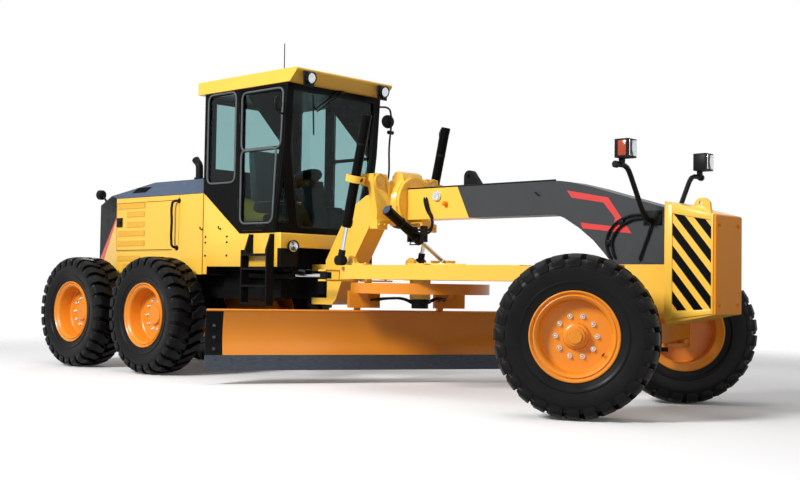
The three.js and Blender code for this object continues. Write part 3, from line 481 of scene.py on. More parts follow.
# %% Turned pieces, bars and bolts
def turned(bm, profile, centre, axis, segments=48, paint=0):
    """A closed profile of (radius, distance along the axis) points, spun once round."""
    axis = Vector(axis).normalized()
    side = axis.orthogonal().normalized()
    verts = [bm.verts.new(centre + side * r + axis * a) for r, a in profile]
    edges = [bm.edges.new((verts[i], verts[i - 1])) for i in range(len(verts))]
    bmesh.ops.spin(bm, geom=verts + edges, cent=centre, axis=axis, angle=math.tau,
                   steps=segments, use_merge=True, use_normal_flip=False, use_duplicate=False)
    faces = {face for vert in verts for face in vert.link_faces}
    reached = set(faces)
    while faces:
        faces = {g for f in faces for v in f.verts for g in v.link_faces} - reached
        reached |= faces
    for face in reached:
        face.material_index = paint


def bar(bm, start, end, radius, segments=20, bevel=0.003, paint=0, end_radius=None):
    """A round bar or cone between two points of the row frame."""
    along = end - start
    turn = along.to_track_quat("Z", "Y").to_matrix().to_4x4()
    verts = bmesh.ops.create_cone(
        bm, cap_ends=True, segments=segments, radius1=radius,
        radius2=radius if end_radius is None else end_radius, depth=along.length,
        matrix=Matrix.Translation((start + end) / 2) @ turn)["verts"]
    finish_solid(bm, verts, min(bevel, radius * 0.3, along.length * 0.3), paint, segments=1)


def bolt(bm, place, direction, size=0.012, paint=0):
    """A hexagon head on a washer."""
    out = Vector(direction).normalized()
    bar(bm, place - out * 0.002, place + out * size * 0.25, size * 1.35, 16, 0.001, paint)
    bar(bm, place, place + out * size * 0.95, size, 6, size * 0.12, paint)


# %% Pipes and lofts
def tube_curve(radius, sides):
    curve = bpy.data.curves.new("path", "CURVE")
    curve.dimensions = "3D"
    curve.bevel_depth = radius
    curve.bevel_resolution = sides
    return curve


def take_curve(bm, curve, paint):
    """Adds a curve's tube to the piece as a mesh, and clears the curve away."""
    holder = bpy.data.objects.new("path", curve)
    mesh = bpy.data.meshes.new_from_object(holder)
    for polygon in mesh.polygons:
        polygon.material_index = paint
    bm.from_mesh(mesh)
    bpy.data.objects.remove(holder)
    bpy.data.curves.remove(curve)
    bpy.data.meshes.remove(mesh)


def pipe(bm, points, radius, paint=0, sides=3):
    """A tube that runs smoothly through points of the row frame."""
    curve = tube_curve(radius, sides)
    curve.use_fill_caps = True
    curve.resolution_u = 6
    spline = curve.splines.new("BEZIER")
    spline.bezier_points.add(len(points) - 1)
    for knot, point in zip(spline.bezier_points, points):
        knot.co = point
        knot.handle_left_type = knot.handle_right_type = "AUTO"
    take_curve(bm, curve, paint)


def loft(bm, rings):
    """Rings of points, bridged one to the next and closed at both ends."""
    loops = []
    for ring in rings:
        verts = [bm.verts.new(point) for point in ring]
        loops.append([bm.edges.new((verts[i], verts[i - 1])) for i in range(len(verts))])
    for near, far in zip(loops, loops[1:]):
        bmesh.ops.bridge_loops(bm, edges=near + far)
    for loop in (loops[0], loops[-1]):
        bmesh.ops.edgeloop_fill(bm, edges=loop)


# %% Ending a piece
SHARP = math.radians(32)


def shade_by_angle(bm):
    """Smooth shading only where faces meet at a small angle, so that flat faces stay flat."""
    for face in bm.faces:
        face.smooth = any(len(edge.link_faces) == 2 and 0.005 < edge.calc_face_angle(0) < SHARP
                          for edge in face.edges)


def make(name, bm, body, *finishes, replaces=()):
    """Ends a piece: one mesh at the origin, shaded by angle, riding on its body."""
    bmesh.ops.recalc_face_normals(bm, faces=bm.faces)
    shade_by_angle(bm)
    mesh = bpy.data.meshes.new(name)
    bm.to_mesh(mesh)
    bm.free()
    for finish in finishes:
        mesh.materials.append(finish)
    mesh.set_sharp_from_angle(angle=SHARP)
    piece = bpy.data.objects.new(name, mesh)
    bpy.context.scene.collection.objects.link(piece)
    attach(piece, body)
    if replaces:
        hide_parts(*replaces)
    return piece


# %% [markdown]
# A weldment's edges are ground, and painted edges catch the light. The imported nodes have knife
# edges, so each one is copied, its loose triangles are merged, flat faces are joined again, and
# the hard edges get a small round. The copy stands for the node, which stays in the model as it
# was.

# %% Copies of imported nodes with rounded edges
HARD = math.radians(28)


def softened(node, round_off=0.005):
    bm = bmesh.new()
    bm.from_mesh(frame["nodes"][node].data)
    bmesh.ops.remove_doubles(bm, verts=bm.verts, dist=0.0002)
    bmesh.ops.dissolve_limit(bm, angle_limit=math.radians(1), verts=bm.verts, edges=bm.edges)
    for face in bm.faces:
        face.material_index = 0
    edges = [edge for edge in bm.edges
             if len(edge.link_faces) == 2 and edge.calc_face_angle(0) > HARD]
    if round_off > 0:
        round_edges(bm, edges, round_off)
    return bm


def keep(node, *finishes, round_off=0.005):
    """A rounded copy of one node, in one finish."""
    body = frame["nodes"][node]["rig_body"]
    return make(f"{node}_finished", softened(node, round_off), body, *finishes, replaces=(node,))


# %% Cutting faces for a change of paint
def split(bm, point, normal):
    """Cuts all faces where a plane crosses them, so that paint can change there."""
    geom = list(bm.verts) + list(bm.edges) + list(bm.faces)
    bmesh.ops.bisect_plane(bm, geom=geom, plane_co=point, plane_no=Vector(normal), dist=0.0001)


def repaint(bm, paint, chosen):
    """Gives a paint to the faces that a test of their middle and normal picks."""
    for face in bm.faces:
        if chosen(face.calc_center_median() - ORIGIN, face.normal):
            face.material_index = paint


def side_of(start, end):
    """A test for (x, z) points: above zero to the left of the line from start to end."""
    (ax, az), (bx, bz) = start, end
    return lambda place: (bx - ax) * (place.z - az) - (bz - az) * (place.x - ax)


def split_along(bm, start, end):
    """Cuts across the machine along a line of (x, z) points."""
    (ax, az), (bx, bz) = start, end
    split(bm, at(ax, 0, az), (az - bz, 0, bx - ax))


# %% [markdown]
# ## Wheels
# The tyres are traction tyres: a round carcass with bars that run from the middle of the tread,
# over the shoulder and a hand's width down the side. The carcass is spun from its section. One bar
# is lofted along its path, then turned round the axle in copies, half a pitch apart on the two
# halves.

# %% Tyres
TREAD, GROOVE, BEAD = 0.660, 0.616, 0.326
BARS, BAR_ROUND, BAR_CORNER = 28, 0.006, 0.6
# stations across half the tread: distance from the middle, top radius, root radius, lead, half width
STATIONS = (
    (0.006, 0.6595, 0.600, 0.062, 0.036),
    (0.060, 0.6600, 0.600, 0.050, 0.041),
    (0.100, 0.6595, 0.600, 0.016, 0.047),
    (0.150, 0.6560, 0.596, 0.000, 0.050),
    (0.190, 0.6450, 0.585, 0.000, 0.051),
    (0.213, 0.6250, 0.572, 0.000, 0.051),
    (0.221, 0.5950, 0.562, 0.000, 0.050),
    (0.217, 0.5560, 0.550, 0.000, 0.047),
)
CARCASS = (
    (BEAD, 0.164), (0.345, 0.172), (0.370, 0.180), (0.402, 0.189), (0.424, 0.196), (0.430, 0.203),
    (0.438, 0.203), (0.444, 0.198), (0.480, 0.207), (0.520, 0.212), (0.555, 0.212), (0.585, 0.200),
    (0.604, 0.180), (0.613, 0.150), (GROOVE, 0.090), (GROOVE, 0.0),
)


def on_wheel(radius, along, turn):
    return Vector((radius * math.sin(turn), along, radius * math.cos(turn)))


def tyre_bar(bm, side, phase):
    """One bar, as a loft of four-cornered rings, with its edges moulded round."""
    before = set(bm.faces)
    rings = []
    for reach, top, root, lead, half in STATIONS:
        corners = ((root, -half * 1.12), (top, -half), (top, half), (root, half * 1.12))
        rings.append([on_wheel(r, side * reach, phase + (lead + w) / TREAD) for r, w in corners])
    loft(bm, rings)
    faces = [face for face in bm.faces if face not in before]
    bmesh.ops.recalc_face_normals(bm, faces=faces)
    round_edges(bm, {edge for face in faces for edge in face.edges
                     if edge.calc_face_angle(0) > BAR_CORNER}, BAR_ROUND)
    return [face for face in bm.faces if face not in before]


def tyre():
    bm = bmesh.new()
    pitch = math.tau / BARS
    for side, phase in ((-1, 0), (1, pitch / 2)):
        lug = tyre_bar(bm, side, phase)
        edges, verts = {e for f in lug for e in f.edges}, {v for f in lug for v in f.verts}
        geom = lug + list(edges) + list(verts)
        bmesh.ops.spin(bm, geom=geom, cent=(0, 0, 0), axis=(0, 1, 0), dvec=(0, 0, 0),
                       angle=math.tau * (BARS - 1) / BARS, steps=BARS - 1, use_duplicate=True)
    profile = list(CARCASS) + [(r, -a) for r, a in CARCASS[-2::-1]]
    turned(bm, profile, Vector(), (0, 1, 0), 84)
    return bm


# %% [markdown]
# The rims are pressed steel in three parts that look like one: a rolled flange, a deep drum and a
# disc that is bolted to the hub. At the rear the disc sits deep inside. At the front it sits near
# the outer edge, and the hub stands out of it with a cap.

# %% Rims
NUTS, NUT_CIRCLE = 10, 0.166


def rim(disc, front):
    face = disc + 0.022
    outer = [(0.352, 0.168), (0.3605, 0.172), (0.364, 0.180), (0.361, 0.189), (0.352, 0.191),
             (0.346, 0.184), (0.340, 0.180), (0.336, 0.172), (0.331, 0.170), (0.327, 0.178),
             (0.321, 0.180), (0.306, 0.170), (0.298, 0.160), (0.292, 0.150)]
    hub = [(0.290, face + 0.030), (0.284, face + 0.010), (0.272, face), (0.112, face)]
    if front:
        hub += [(0.104, face + 0.012), (0.098, face + 0.034), (0.084, face + 0.040),
                (0.080, face + 0.074), (0.072, face + 0.080), (0.060, face + 0.080),
                (0.056, face + 0.094), (0, face + 0.096)]
    else:
        hub += [(0.108, face + 0.020), (0.100, face + 0.034), (0.060, face + 0.034),
                (0, face + 0.036)]
    inner = [(0, disc), (0.285, disc), (0.288, -0.150), (0.306, -0.170), (0.344, -0.184),
             (0.352, -0.190), (0.362, -0.186), (0.362, -0.174), (0.352, -0.168), (0.319, -0.164),
             (0.319, 0.164)]
    bm = bmesh.new()
    turned(bm, [(r, -a) for r, a in outer + hub + inner], Vector(), (0, 1, 0), 72)
    bmesh.ops.remove_doubles(bm, verts=bm.verts, dist=0.0004)
    out = Vector((0, -1, 0))
    for i in range(NUTS):
        place = on_wheel(NUT_CIRCLE, -face, math.tau * (i + 0.5) / NUTS)
        bar(bm, place, place + out * 0.006, 0.021, 16, 0.001, 1)
        bar(bm, place, place + out * 0.022, 0.0165, 6, 0.002, 1)
        bar(bm, place + out * 0.020, place + out * 0.034, 0.014, 12, 0.004, 1, 0.006)
    valve = on_wheel(0.255, -face, 2.2)
    bends = ((0, 0, 0), (0.01, -0.03, 0.01), (0.02, -0.05, 0.02))
    pipe(bm, [valve + Vector(bend) for bend in bends], 0.005, 2)
    return bm


# %% Six wheels in place
STEER = {"right": 26.7, "left": 37.6}
REAR_DISC, FRONT_DISC = -0.020, 0.040
for axle in ("rear", "middle", "front"):
    for side, sign in SIDES:
        name = f"{axle}_{side}"
        angle = math.radians(STEER[side]) if axle == "front" else 0.0
        place = Matrix.Translation(middle_of(f"tyre_{name}")) @ Matrix.Rotation(angle, 4, "Z")
        flip = Matrix.Diagonal((1, 1 if sign < 0 else -1, 1, 1))
        disc = FRONT_DISC if axle == "front" else REAR_DISC
        for kind, bm, finishes in (("tyre", tyre(), (tyre_rubber,)),
                                   ("rim", rim(disc, axle == "front"), (orange, zinc, plastic))):
            bmesh.ops.transform(bm, matrix=place @ flip, verts=bm.verts)
            make(f"{kind}_{name}_finished", bm, f"wheel_{name}", *finishes,
                 replaces=(f"{kind}_{name}",))
print("wheels: 6, bars on a tyre:", 2 * BARS)

# %% [markdown]
# ## Weldments that only need softer edges
# Frames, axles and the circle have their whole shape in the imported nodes, so they are the rounded
# copies. Each is painted as the real one: black below, yellow above, orange on what turns or
# wears.

# %% Plain weldments
for node in ("rear_frame", "tie_rod", "blade_carrier", "side_shift_yoke", "engine_block"):
    keep(node, chassis)
for node in ("tandem_case_right", "tandem_case_left", "knuckle_right", "knuckle_left",
             "front_axle"):
    keep(node, orange)
for node in ("lift_ring_right", "lift_ring_left", "engine_door_right", "engine_door_left"):
    keep(node, yellow, round_off=0.003)
for node in ("cab_shell", "door_right", "door_left"):
    keep(node, black, round_off=0.004)
for node in ("ladder_right", "ladder_left"):
    keep(node, chassis, round_off=0.003)
keep("circle", orange)
keep("drawbar", yellow)
keep("drawbar_ball", cast_iron, round_off=0)
keep("steering_console", plastic)
for node in ("windscreen", "rear_window", "quarter_window_right", "quarter_window_left",
             "door_glass_right", "door_glass_left"):
    keep(node, cab_glass, round_off=0)

# %% [markdown]
# ## Hood
# The hood's roof is slate grey and its flanks are yellow. The rear corners carry a black panel
# with a red stripe down its front edge. Paint changes along straight lines, so the copy is cut by
# planes there, and each side of a cut gets its own finish.

# %% Hood paint
PANEL_Z, FOOT_Z = 1.81, 1.31
PANEL_TOP, STRIPE_TOP = (-0.534, PANEL_Z), (-0.496, PANEL_Z)
STRIPE_BACK, STRIPE_FOOT = (-1.115, FOOT_Z), (-0.946, FOOT_Z)
HOOD_SIDE, TAIL = 2.043, -0.52
bm = softened("engine_hood", 0)
split(bm, at(0, 0, HOOD_SIDE), (0, 0, 1))
split(bm, at(TAIL, 0, 0), (1, 0, 0))
split(bm, at(0, 0, PANEL_Z), (0, 0, 1))
split_along(bm, STRIPE_TOP, STRIPE_FOOT)
split_along(bm, PANEL_TOP, STRIPE_BACK)
front_line = side_of(STRIPE_FOOT, STRIPE_TOP)
back_line = side_of(STRIPE_BACK, PANEL_TOP)


def upright(n):
    return n.z < 0.3


def rearward(n):
    return n.x < -0.9


repaint(bm, 1, lambda p, n: p.z > HOOD_SIDE or n.z > 0.3)
repaint(bm, 2, lambda p, n: upright(n) and p.x < TAIL
        and (p.z > PANEL_Z or back_line(p) > 0 or rearward(n)))
repaint(bm, 3, lambda p, n: upright(n) and not rearward(n) and p.z < PANEL_Z
        and back_line(p) < 0 < front_line(p))
make("engine_hood_finished", bm, "rear_frame", yellow, slate, black, red, replaces=("engine_hood",))
print("hood finishes: 4")

# %% [markdown]
# The doors over the engine breathe through punched louvres. Each band is a thin plate with a row
# of pressed ridges, and the plate is a darker yellow as painted shade between the ridges. The upper
# bands ride on the door and the lower ones on the hood. The door is closed by a black paddle
# latch, and a grab rail stands ahead of it.

# %% Louvres
# where the band sits, its height, its two ends
LOUVRES = (
    ("door", 1.940, -0.490, 0.080), ("door", 1.840, -0.300, 0.070), ("door", 1.715, -0.300, 0.070),
    ("door", 1.610, -0.490, 0.080), ("door", 1.490, -0.490, 0.080),
    ("hood", 1.310, -0.490, 0.000), ("hood", 1.214, -0.370, 0.000),
)
BAND, RIDGE, PITCH, FLANK = 0.067, 0.009, 0.019, 0.690


def reach(sign, near, far):
    """Two distances from the middle plane, low one first, on the right or left side."""
    return (-far, -near) if sign < 0 else (near, far)


for side, sign in SIDES:
    for where in ("door", "hood"):
        bm = bmesh.new()
        for place, z, start, end in LOUVRES:
            if place != where:
                continue
            # the band's plate is a darker yellow, which is painted shade for the recesses between
            # the ridges
            low, high = reach(sign, FLANK - 0.002, FLANK + 0.0015)
            box(bm, (start, low, z - BAND / 2), (end, high, z + BAND / 2), 0, 1)
            low, high = reach(sign, FLANK, FLANK + 0.004)
            half = BAND / 2 - 0.006
            for i in range(int((end - start) / PITCH)):
                x = start + (i + 0.5) * PITCH
                box(bm, (x - RIDGE / 2, low, z - half), (x + RIDGE / 2, high, z + half), 0)
        body = f"engine_door_{side}" if where == "door" else "rear_frame"
        make(f"louvres_{where}_{side}", bm, body, yellow, louvre_painted_shade)
print("louvre bands:", len(LOUVRES), "a side")

# %% Latches and rails
# near and far from the middle plane, back and front, low and high
LATCH_PLATES = ((0.688, 0.706, -0.500, -0.385, 1.694, 1.804),
                (0.704, 0.716, -0.475, -0.410, 1.725, 1.775))
RAIL = ((0.747, 0.688, 1.972), (0.705, 0.742, 1.960), (0.692, 0.750, 1.925), (0.692, 0.750, 1.72),
        (0.692, 0.750, 1.510), (0.700, 0.742, 1.450), (0.720, 0.688, 1.429))
for side, sign in SIDES:
    bm = bmesh.new()
    for near, far, start, end, low_z, high_z in LATCH_PLATES:
        low, high = reach(sign, near, far)
        box(bm, (start, low, low_z), (end, high, high_z), 0.005)
    make(f"door_latch_{side}", bm, f"engine_door_{side}", plastic)
    bm = bmesh.new()
    pipe(bm, [at(x, sign * y, z) for x, y, z in RAIL], 0.015)
    for x, y, z in (RAIL[0], RAIL[-1]):
        bar(bm, at(x, sign * 0.689, z), at(x, sign * 0.696, z), 0.030, 20, 0.002)
    make(f"hood_rail_{side}", bm, "rear_frame", plastic)
print("latches and rails: 2 of each")

# %% Seams, hooks and bolts
# the low back corner and the high front corner of each seam, as (x, z)
SEAMS = (((0.745, 1.46), (0.749, HOOD_SIDE)), ((-0.51, 1.395), (0.618, 1.398)),
         ((-0.51, HOOD_SIDE - 0.003), (1.19, HOOD_SIDE)))
for side, sign in SIDES:
    bm = bmesh.new()
    low, high = reach(sign, 0.6895, 0.6908)
    for (back, foot), (front, head) in SEAMS:
        box(bm, (back, low, foot), (front, high, head), 0)
    make(f"hood_seams_{side}", bm, "rear_frame", chassis)
    bm = bmesh.new()
    for x in (1.19, 1.519):
        hook = ((x, 0.689, 1.630), (x, 0.712, 1.632), (x - 0.004, 0.722, 1.645),
                (x - 0.004, 0.722, 1.662))
        pipe(bm, [at(a, sign * b, c) for a, b, c in hook], 0.007)
    for x in (1.25, 1.629):
        for z in (1.545, 1.482, 1.335):
            bolt(bm, at(x, sign * 0.6895, z), (0, sign, 0), 0.010)
    make(f"cab_base_bolts_{side}", bm, "rear_frame", chassis)
print("seams:", len(SEAMS), "a side")

# %% [markdown]
# On the hood's roof stand a mesh air intake, a seam across, the exhaust with its cut-off elbow,
# and two round lamps on short stems over the tail. The tail's flat face isn't seen from the front.
# It is taken to be a slatted radiator grille with tail lamps under it, as on machines of this
# kind.

# %% Air intake
SHOULDER_RUN, SHOULDER_CLIMB = 0.240, 0.195
SHOULDER_OUT = Vector((0, -0.63, 0.776))
INTAKE_BACK, INTAKE_FRONT, INTAKE_NEAR, INTAKE_FAR, SLATS = -0.308, -0.032, 0.32, 0.68, 6


def on_shoulder(x, share, rise=0.0):
    """A point on the hood's right shoulder: share 0 at its outer edge, 1 at its inner edge."""
    foot = at(x, SHOULDER_RUN * share - FLANK, HOOD_SIDE + SHOULDER_CLIMB * share)
    return foot + SHOULDER_OUT * rise


bm = bmesh.new()
corners = [on_shoulder(x, share, 0.003)
           for x, share in ((INTAKE_BACK, INTAKE_NEAR), (INTAKE_FRONT, INTAKE_NEAR),
                            (INTAKE_FRONT, INTAKE_FAR), (INTAKE_BACK, INTAKE_FAR))]
face = bm.faces.new([bm.verts.new(point) for point in corners])
bmesh.ops.solidify(bm, geom=[face], thickness=0.004)
for i in range(SLATS):
    share = INTAKE_NEAR + (INTAKE_FAR - INTAKE_NEAR) * (i + 0.5) / SLATS
    back, front = (on_shoulder(x, share, 0.006) for x in (INTAKE_BACK, INTAKE_FRONT))
    bar(bm, back, front, 0.004, 8, 0)
make("hood_intake", bm, "rear_frame", chassis)
print("intake slats:", SLATS)

# %% Exhaust
EXHAUST = ((0.665, -0.35, 2.24), (0.665, -0.35, 2.36), (0.655, -0.35, 2.42), (0.600, -0.35, 2.475))
bm = bmesh.new()
turned(bm, [(0.062, 0), (0.062, 0.030), (0.050, 0.034), (0.050, 0)], at(0.665, -0.35, 2.238),
       (0, 0, 1), 28)
pipe(bm, [at(*point) for point in EXHAUST], 0.044, sides=5)
bar(bm, at(0.607, -0.35, 2.468), at(0.585, -0.35, 2.490), 0.046, 24, 0.002)
make("exhaust", bm, "rear_frame", cast_iron)
print("exhaust top at", EXHAUST[-1][2], "m")

# %% Tail lamps and grille
LAMP_STEM = ((-1.000, 0.52, 2.010), (-1.030, 0.53, 2.070), (-1.090, 0.54, 2.105))
for side, sign in SIDES:
    bm = bmesh.new()
    pipe(bm, [at(x, sign * y, z) for x, y, z in LAMP_STEM], 0.014)
    bar(bm, at(-1.060, sign * 0.54, 2.120), at(-1.135, sign * 0.55, 2.125), 0.062, 28, 0.012)
    make(f"rear_work_lamp_{side}", bm, "rear_frame", plastic)
    bm = bmesh.new()
    low, high = reach(sign, 0.300, 0.400)
    box(bm, (-1.172, low, 0.930), (-1.158, high, 1.050), 0.004, 0)
    make(f"tail_lamp_{side}", bm, "rear_frame", red_lens)
bm = bmesh.new()
box(bm, (-1.136, -0.440, 1.250), (-1.128, 0.440, 1.900), 0.003)
for i in range(13):
    z = 1.285 + i * 0.048
    box(bm, (-1.146, -0.420, z - 0.008), (-1.134, 0.420, z + 0.008), 0.003)
make("radiator_grille", bm, "rear_frame", chassis)
print("tail lamps: 2, work lamps: 2")

# %% [markdown]
# ## Cab
# The cab is a black steel frame glazed all round. Its panes have round corners and a grey rubber
# seal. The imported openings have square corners, so a thin black plate with a rounded hole closes
# each corner, and the seal runs round that hole.

# %% Rounded openings
def rounded(points, radius, steps=5):
    """The same outline with its corners drawn round."""
    result = []
    for i, corner in enumerate(points):
        corner = Vector(corner)
        before = (Vector(points[i - 1]) - corner).normalized()
        after = (Vector(points[(i + 1) % len(points)]) - corner).normalized()
        start, end = corner + before * radius, corner + after * radius
        for k in range(steps + 1):
            t = k / steps
            result.append(start * (1 - t) ** 2 + corner * 2 * t * (1 - t) + end * t * t)
    return result


def grown(points, by):
    """The outline moved out, or in, from its own middle."""
    middle = sum((Vector(p) for p in points), Vector((0, 0))) / len(points)
    return [Vector((a + math.copysign(by, a - middle.x), b + math.copysign(by, b - middle.y)))
            for a, b in points]


def plate_with_hole(bm, outer, inner, place, depth):
    """A flat plate between two outlines of as many points, given a thickness by extrusion."""
    edges = []
    for outline in (outer, inner):
        verts = [bm.verts.new(place(a, b)) for a, b in outline]
        edges += [bm.edges.new((verts[i - 1], verts[i])) for i in range(len(verts))]
    faces = bmesh.ops.bridge_loops(bm, edges=edges)["faces"]
    far = bmesh.ops.extrude_face_region(bm, geom=faces, use_keep_orig=True)["geom"]
    moved = [item for item in far if isinstance(item, bmesh.types.BMVert)]
    bmesh.ops.translate(bm, verts=moved, vec=depth)


def seal(bm, outline, place, radius, paint=0):
    """A round rubber bead along a closed outline."""
    curve = tube_curve(radius, 2)
    spline = curve.splines.new("POLY")
    spline.points.add(len(outline) - 1)
    for knot, (a, b) in zip(spline.points, outline):
        knot.co = (*place(a, b), 1)
    spline.use_cyclic_u = True
    take_curve(bm, curve, paint)


# %% Corner plates and seals
QUARTER = ((1.293, 2.160), (1.734, 2.160), (1.734, 3.110), (1.293, 3.110))
LOWER_PANE = ((1.880, 1.700), (2.366, 1.700), (2.413, 2.455), (1.880, 2.455))
UPPER_PANE = ((1.880, 2.490), (2.478, 2.490), (2.512, 3.080), (1.880, 3.080))
HOLE_INSET, HOLE_CORNER, PLATE_LAP, PLATE_Y, PLATE_THICK = 0.022, 0.085, 0.004, 0.6865, 0.0105
for side, sign in SIDES:
    for kind, body, outlines in (("quarter", "rear_frame", (QUARTER,)),
                                 ("door", f"door_{side}", (LOWER_PANE, UPPER_PANE))):
        bm = bmesh.new()
        for outline in outlines:
            hole = rounded(grown(outline, -HOLE_INSET), HOLE_CORNER)
            edge = rounded(grown(outline, PLATE_LAP), 0.003)
            plate_with_hole(bm, edge, hole, lambda a, b: at(a, sign * PLATE_Y, b),
                            Vector((0, sign * PLATE_THICK, 0)))
            seal(bm, hole, lambda a, b: at(a, sign * 0.699, b), 0.011, 1)
        make(f"{kind}_surround_{side}", bm, body, black, seal_rubber)
print("sealed panes: 3 a side")

# %% [markdown]
# Small fittings finish the cab's sides: hinges, a pull handle low on the door, round mirrors on
# bent tubes, and a long rail down the left front corner.

# %% Hinges and handles
HINGE_X, HINGE_Y, HINGE_HALF = 1.833, 0.703, 0.05
HANDLE = ((2.165, 0.700), (2.180, 0.735), (2.265, 0.735), (2.285, 0.700))
for side, sign in SIDES:
    bm = bmesh.new()
    for z in (2.830, 1.900):
        middle = at(HINGE_X, sign * HINGE_Y, z)
        reach_up = Vector((0, 0, HINGE_HALF))
        bar(bm, middle - reach_up, middle + reach_up, 0.012, 16, 0.002)
    make(f"door_hinges_{side}", bm, f"door_{side}", cast_iron)
    bm = bmesh.new()
    low, high = reach(sign, 0.697, 0.706)
    box(bm, (2.150, low, 1.634), (2.300, high, 1.684), 0.006)
    pipe(bm, [at(x, sign * y, 1.659) for x, y in HANDLE], 0.009)
    make(f"door_handle_{side}", bm, f"door_{side}", plastic)
    bm = bmesh.new()
    low, high = reach(sign, 0.697, 0.712)
    for z in (2.494, 2.70):
        box(bm, (1.240, low, z - 0.03), (1.262, high, z + 0.03), 0.004)
    make(f"quarter_hinges_{side}", bm, "rear_frame", cast_iron)
print("door hinges on the line x", HINGE_X, "y", HINGE_Y)

# %% Mirrors
MIRROR = ((0, -0.020), (0.050, -0.020), (0.076, -0.004), (0.078, 0.012), (0.070, 0.014), (0, 0.010))
SHORT_ARM = ((2.530, -0.705, 2.822), (2.575, -0.790, 2.822), (2.612, -0.828, 2.850),
             (2.606, -0.830, 2.900))
LONG_RAIL = ((2.640, 0.655, 3.047), (2.660, 0.760, 3.045), (2.655, 0.808, 3.010),
             (2.640, 0.812, 2.600), (2.625, 0.806, 2.193), (2.570, 0.740, 1.980),
             (2.520, 0.695, 1.900))
for side, sign in SIDES:
    bm = bmesh.new()
    turned(bm, MIRROR, at(2.600, sign * 0.830, 2.905), (-0.94, sign * 0.34, 0), 32)
    if sign < 0:
        pipe(bm, [at(*point) for point in SHORT_ARM], 0.010)
    else:
        pipe(bm, [at(*point) for point in LONG_RAIL], 0.011)
        bar(bm, at(2.640, 0.790, 2.775), at(2.640, 0.870, 2.775), 0.022, 16, 0.003)
        pipe(bm, [at(2.645, 0.812, 2.90), at(2.612, 0.828, 2.902)], 0.010)
    make(f"mirror_{side}", bm, "rear_frame", plastic)
print("mirrors: 2")

# %% [markdown]
# The windscreen's frame leans with the screen. Two work lamps hang under the roof's front corners,
# the wiper is hinged above the glass, and a small pane closes each lower front corner.

# %% Windscreen seal and wiper
LEAN, FOOT_X, FLOOR_Z = 0.0669, 2.495, 1.575


def on_screen(y, z, out=0.0):
    return at(FOOT_X + (z - FLOOR_Z) * LEAN + out, y, z)


SCREEN = ((-0.430, 1.640), (0.430, 1.640), (0.600, 2.450), (0.610, 3.090), (-0.610, 3.090),
          (-0.600, 2.450))
bm = bmesh.new()
seal(bm, rounded(SCREEN, 0.05), lambda a, b: on_screen(a, b, -0.002), 0.012, 0)
make("windscreen_seal", bm, "rear_frame", hose_rubber)
bm = bmesh.new()
pivot, elbow = on_screen(0.062, 3.150, 0.035), on_screen(-0.291, 2.903, 0.030)
bar(bm, on_screen(0.062, 3.135, -0.005), on_screen(0.062, 3.135, 0.045), 0.028, 20, 0.004)
for offset in (-0.022, 0.022):
    bar(bm, pivot + Vector((0, 0, offset)), elbow + Vector((0, 0, offset)), 0.007, 10, 0)
box(bm, (2.590, 0.020, 3.155), (2.640, 0.150, 3.200), 0.008)
bar(bm, on_screen(-0.355, 3.055, 0.020), on_screen(-0.307, 2.633, 0.018), 0.009, 10, 0.001)
bar(bm, on_screen(-0.340, 2.93, 0.022), elbow, 0.010, 10, 0.001)
make("wiper", bm, "rear_frame", plastic)
print("windscreen leans", round(math.degrees(math.atan(LEAN)), 1), "degrees")

# %% Roof and round lamps
ROOF_TOP = 3.2935
bm = softened("cab_roof", 0.006)
repaint(bm, 1, lambda p, n: p.z > ROOF_TOP)
make("cab_roof_finished", bm, "rear_frame", yellow, plastic, replaces=("cab_roof",))
ROUND_LAMP = (
    ("body", plastic, ((0, -0.045), (0.045, -0.045), (0.062, -0.020), (0.066, 0.022), (0.058, 0.024),
                       (0.056, 0.012), (0, 0.012))),
    ("reflector", reflector, ((0, 0.0125), (0.054, 0.0125), (0.054, 0.0132), (0, 0.0132))),
    ("lens", lens_glass, ((0, 0.014), (0.056, 0.014), (0.050, 0.021), (0, 0.026))),
)


def round_lamp(name, centre, axis):
    for layer, finish, profile in ROUND_LAMP:
        bm = bmesh.new()
        turned(bm, profile, centre, axis, 32)
        make(f"{name}_{layer}", bm, "rear_frame", finish)


for side, sign in SIDES:
    round_lamp(f"roof_lamp_{side}", at(2.790, sign * 0.555, 3.190), (1, 0, -0.15))
    round_lamp(f"fascia_lamp_{side}", at(2.545, sign * 0.540, 1.432), (1, sign * 0.2, 0))
    bm = bmesh.new()
    box(bm, (2.752, sign * 0.555 - 0.075, 3.100), (2.772, sign * 0.555 + 0.075, 3.262), 0.010)
    make(f"roof_lamp_plate_{side}", bm, "rear_frame", plastic)
print("round lamps: 4")

# %% Corner panes
PANE_SHARE, PANE_DEEP, PANE_THICK = 0.66, 0.018, 0.006
for side, sign in SIDES:
    foot, inner = at(2.430, sign * 0.7, FLOOR_Z), at(FOOT_X, sign * 0.505, FLOOR_Z)
    top = at(2.545, sign * 0.7, 2.420)
    middle = (foot + inner + top) / 3
    normal = (inner - foot).cross(top - foot).normalized()
    normal = normal if normal.x > 0 else -normal
    corners = [middle + (corner - middle) * PANE_SHARE - normal * PANE_DEEP
               for corner in (foot, inner, top)]
    bm = bmesh.new()
    near = [bm.verts.new(point) for point in corners]
    face = bm.faces.new(near)
    far = bmesh.ops.extrude_face_region(bm, geom=[face])["geom"]
    moved = [item for item in far if isinstance(item, bmesh.types.BMVert)]
    bmesh.ops.translate(bm, verts=moved, vec=normal * -PANE_THICK)
    make(f"corner_pane_{side}", bm, "rear_frame", cab_glass)
print("corner panes: 2")

# %% [markdown]
# Under the cab the body is yellow, with a fascia across the front. Below the fascia the front is
# an open black bay. Inside, the driver has a sprung cloth seat, a steering column with a rimmed
# wheel, and a rank of levers on either side of it.

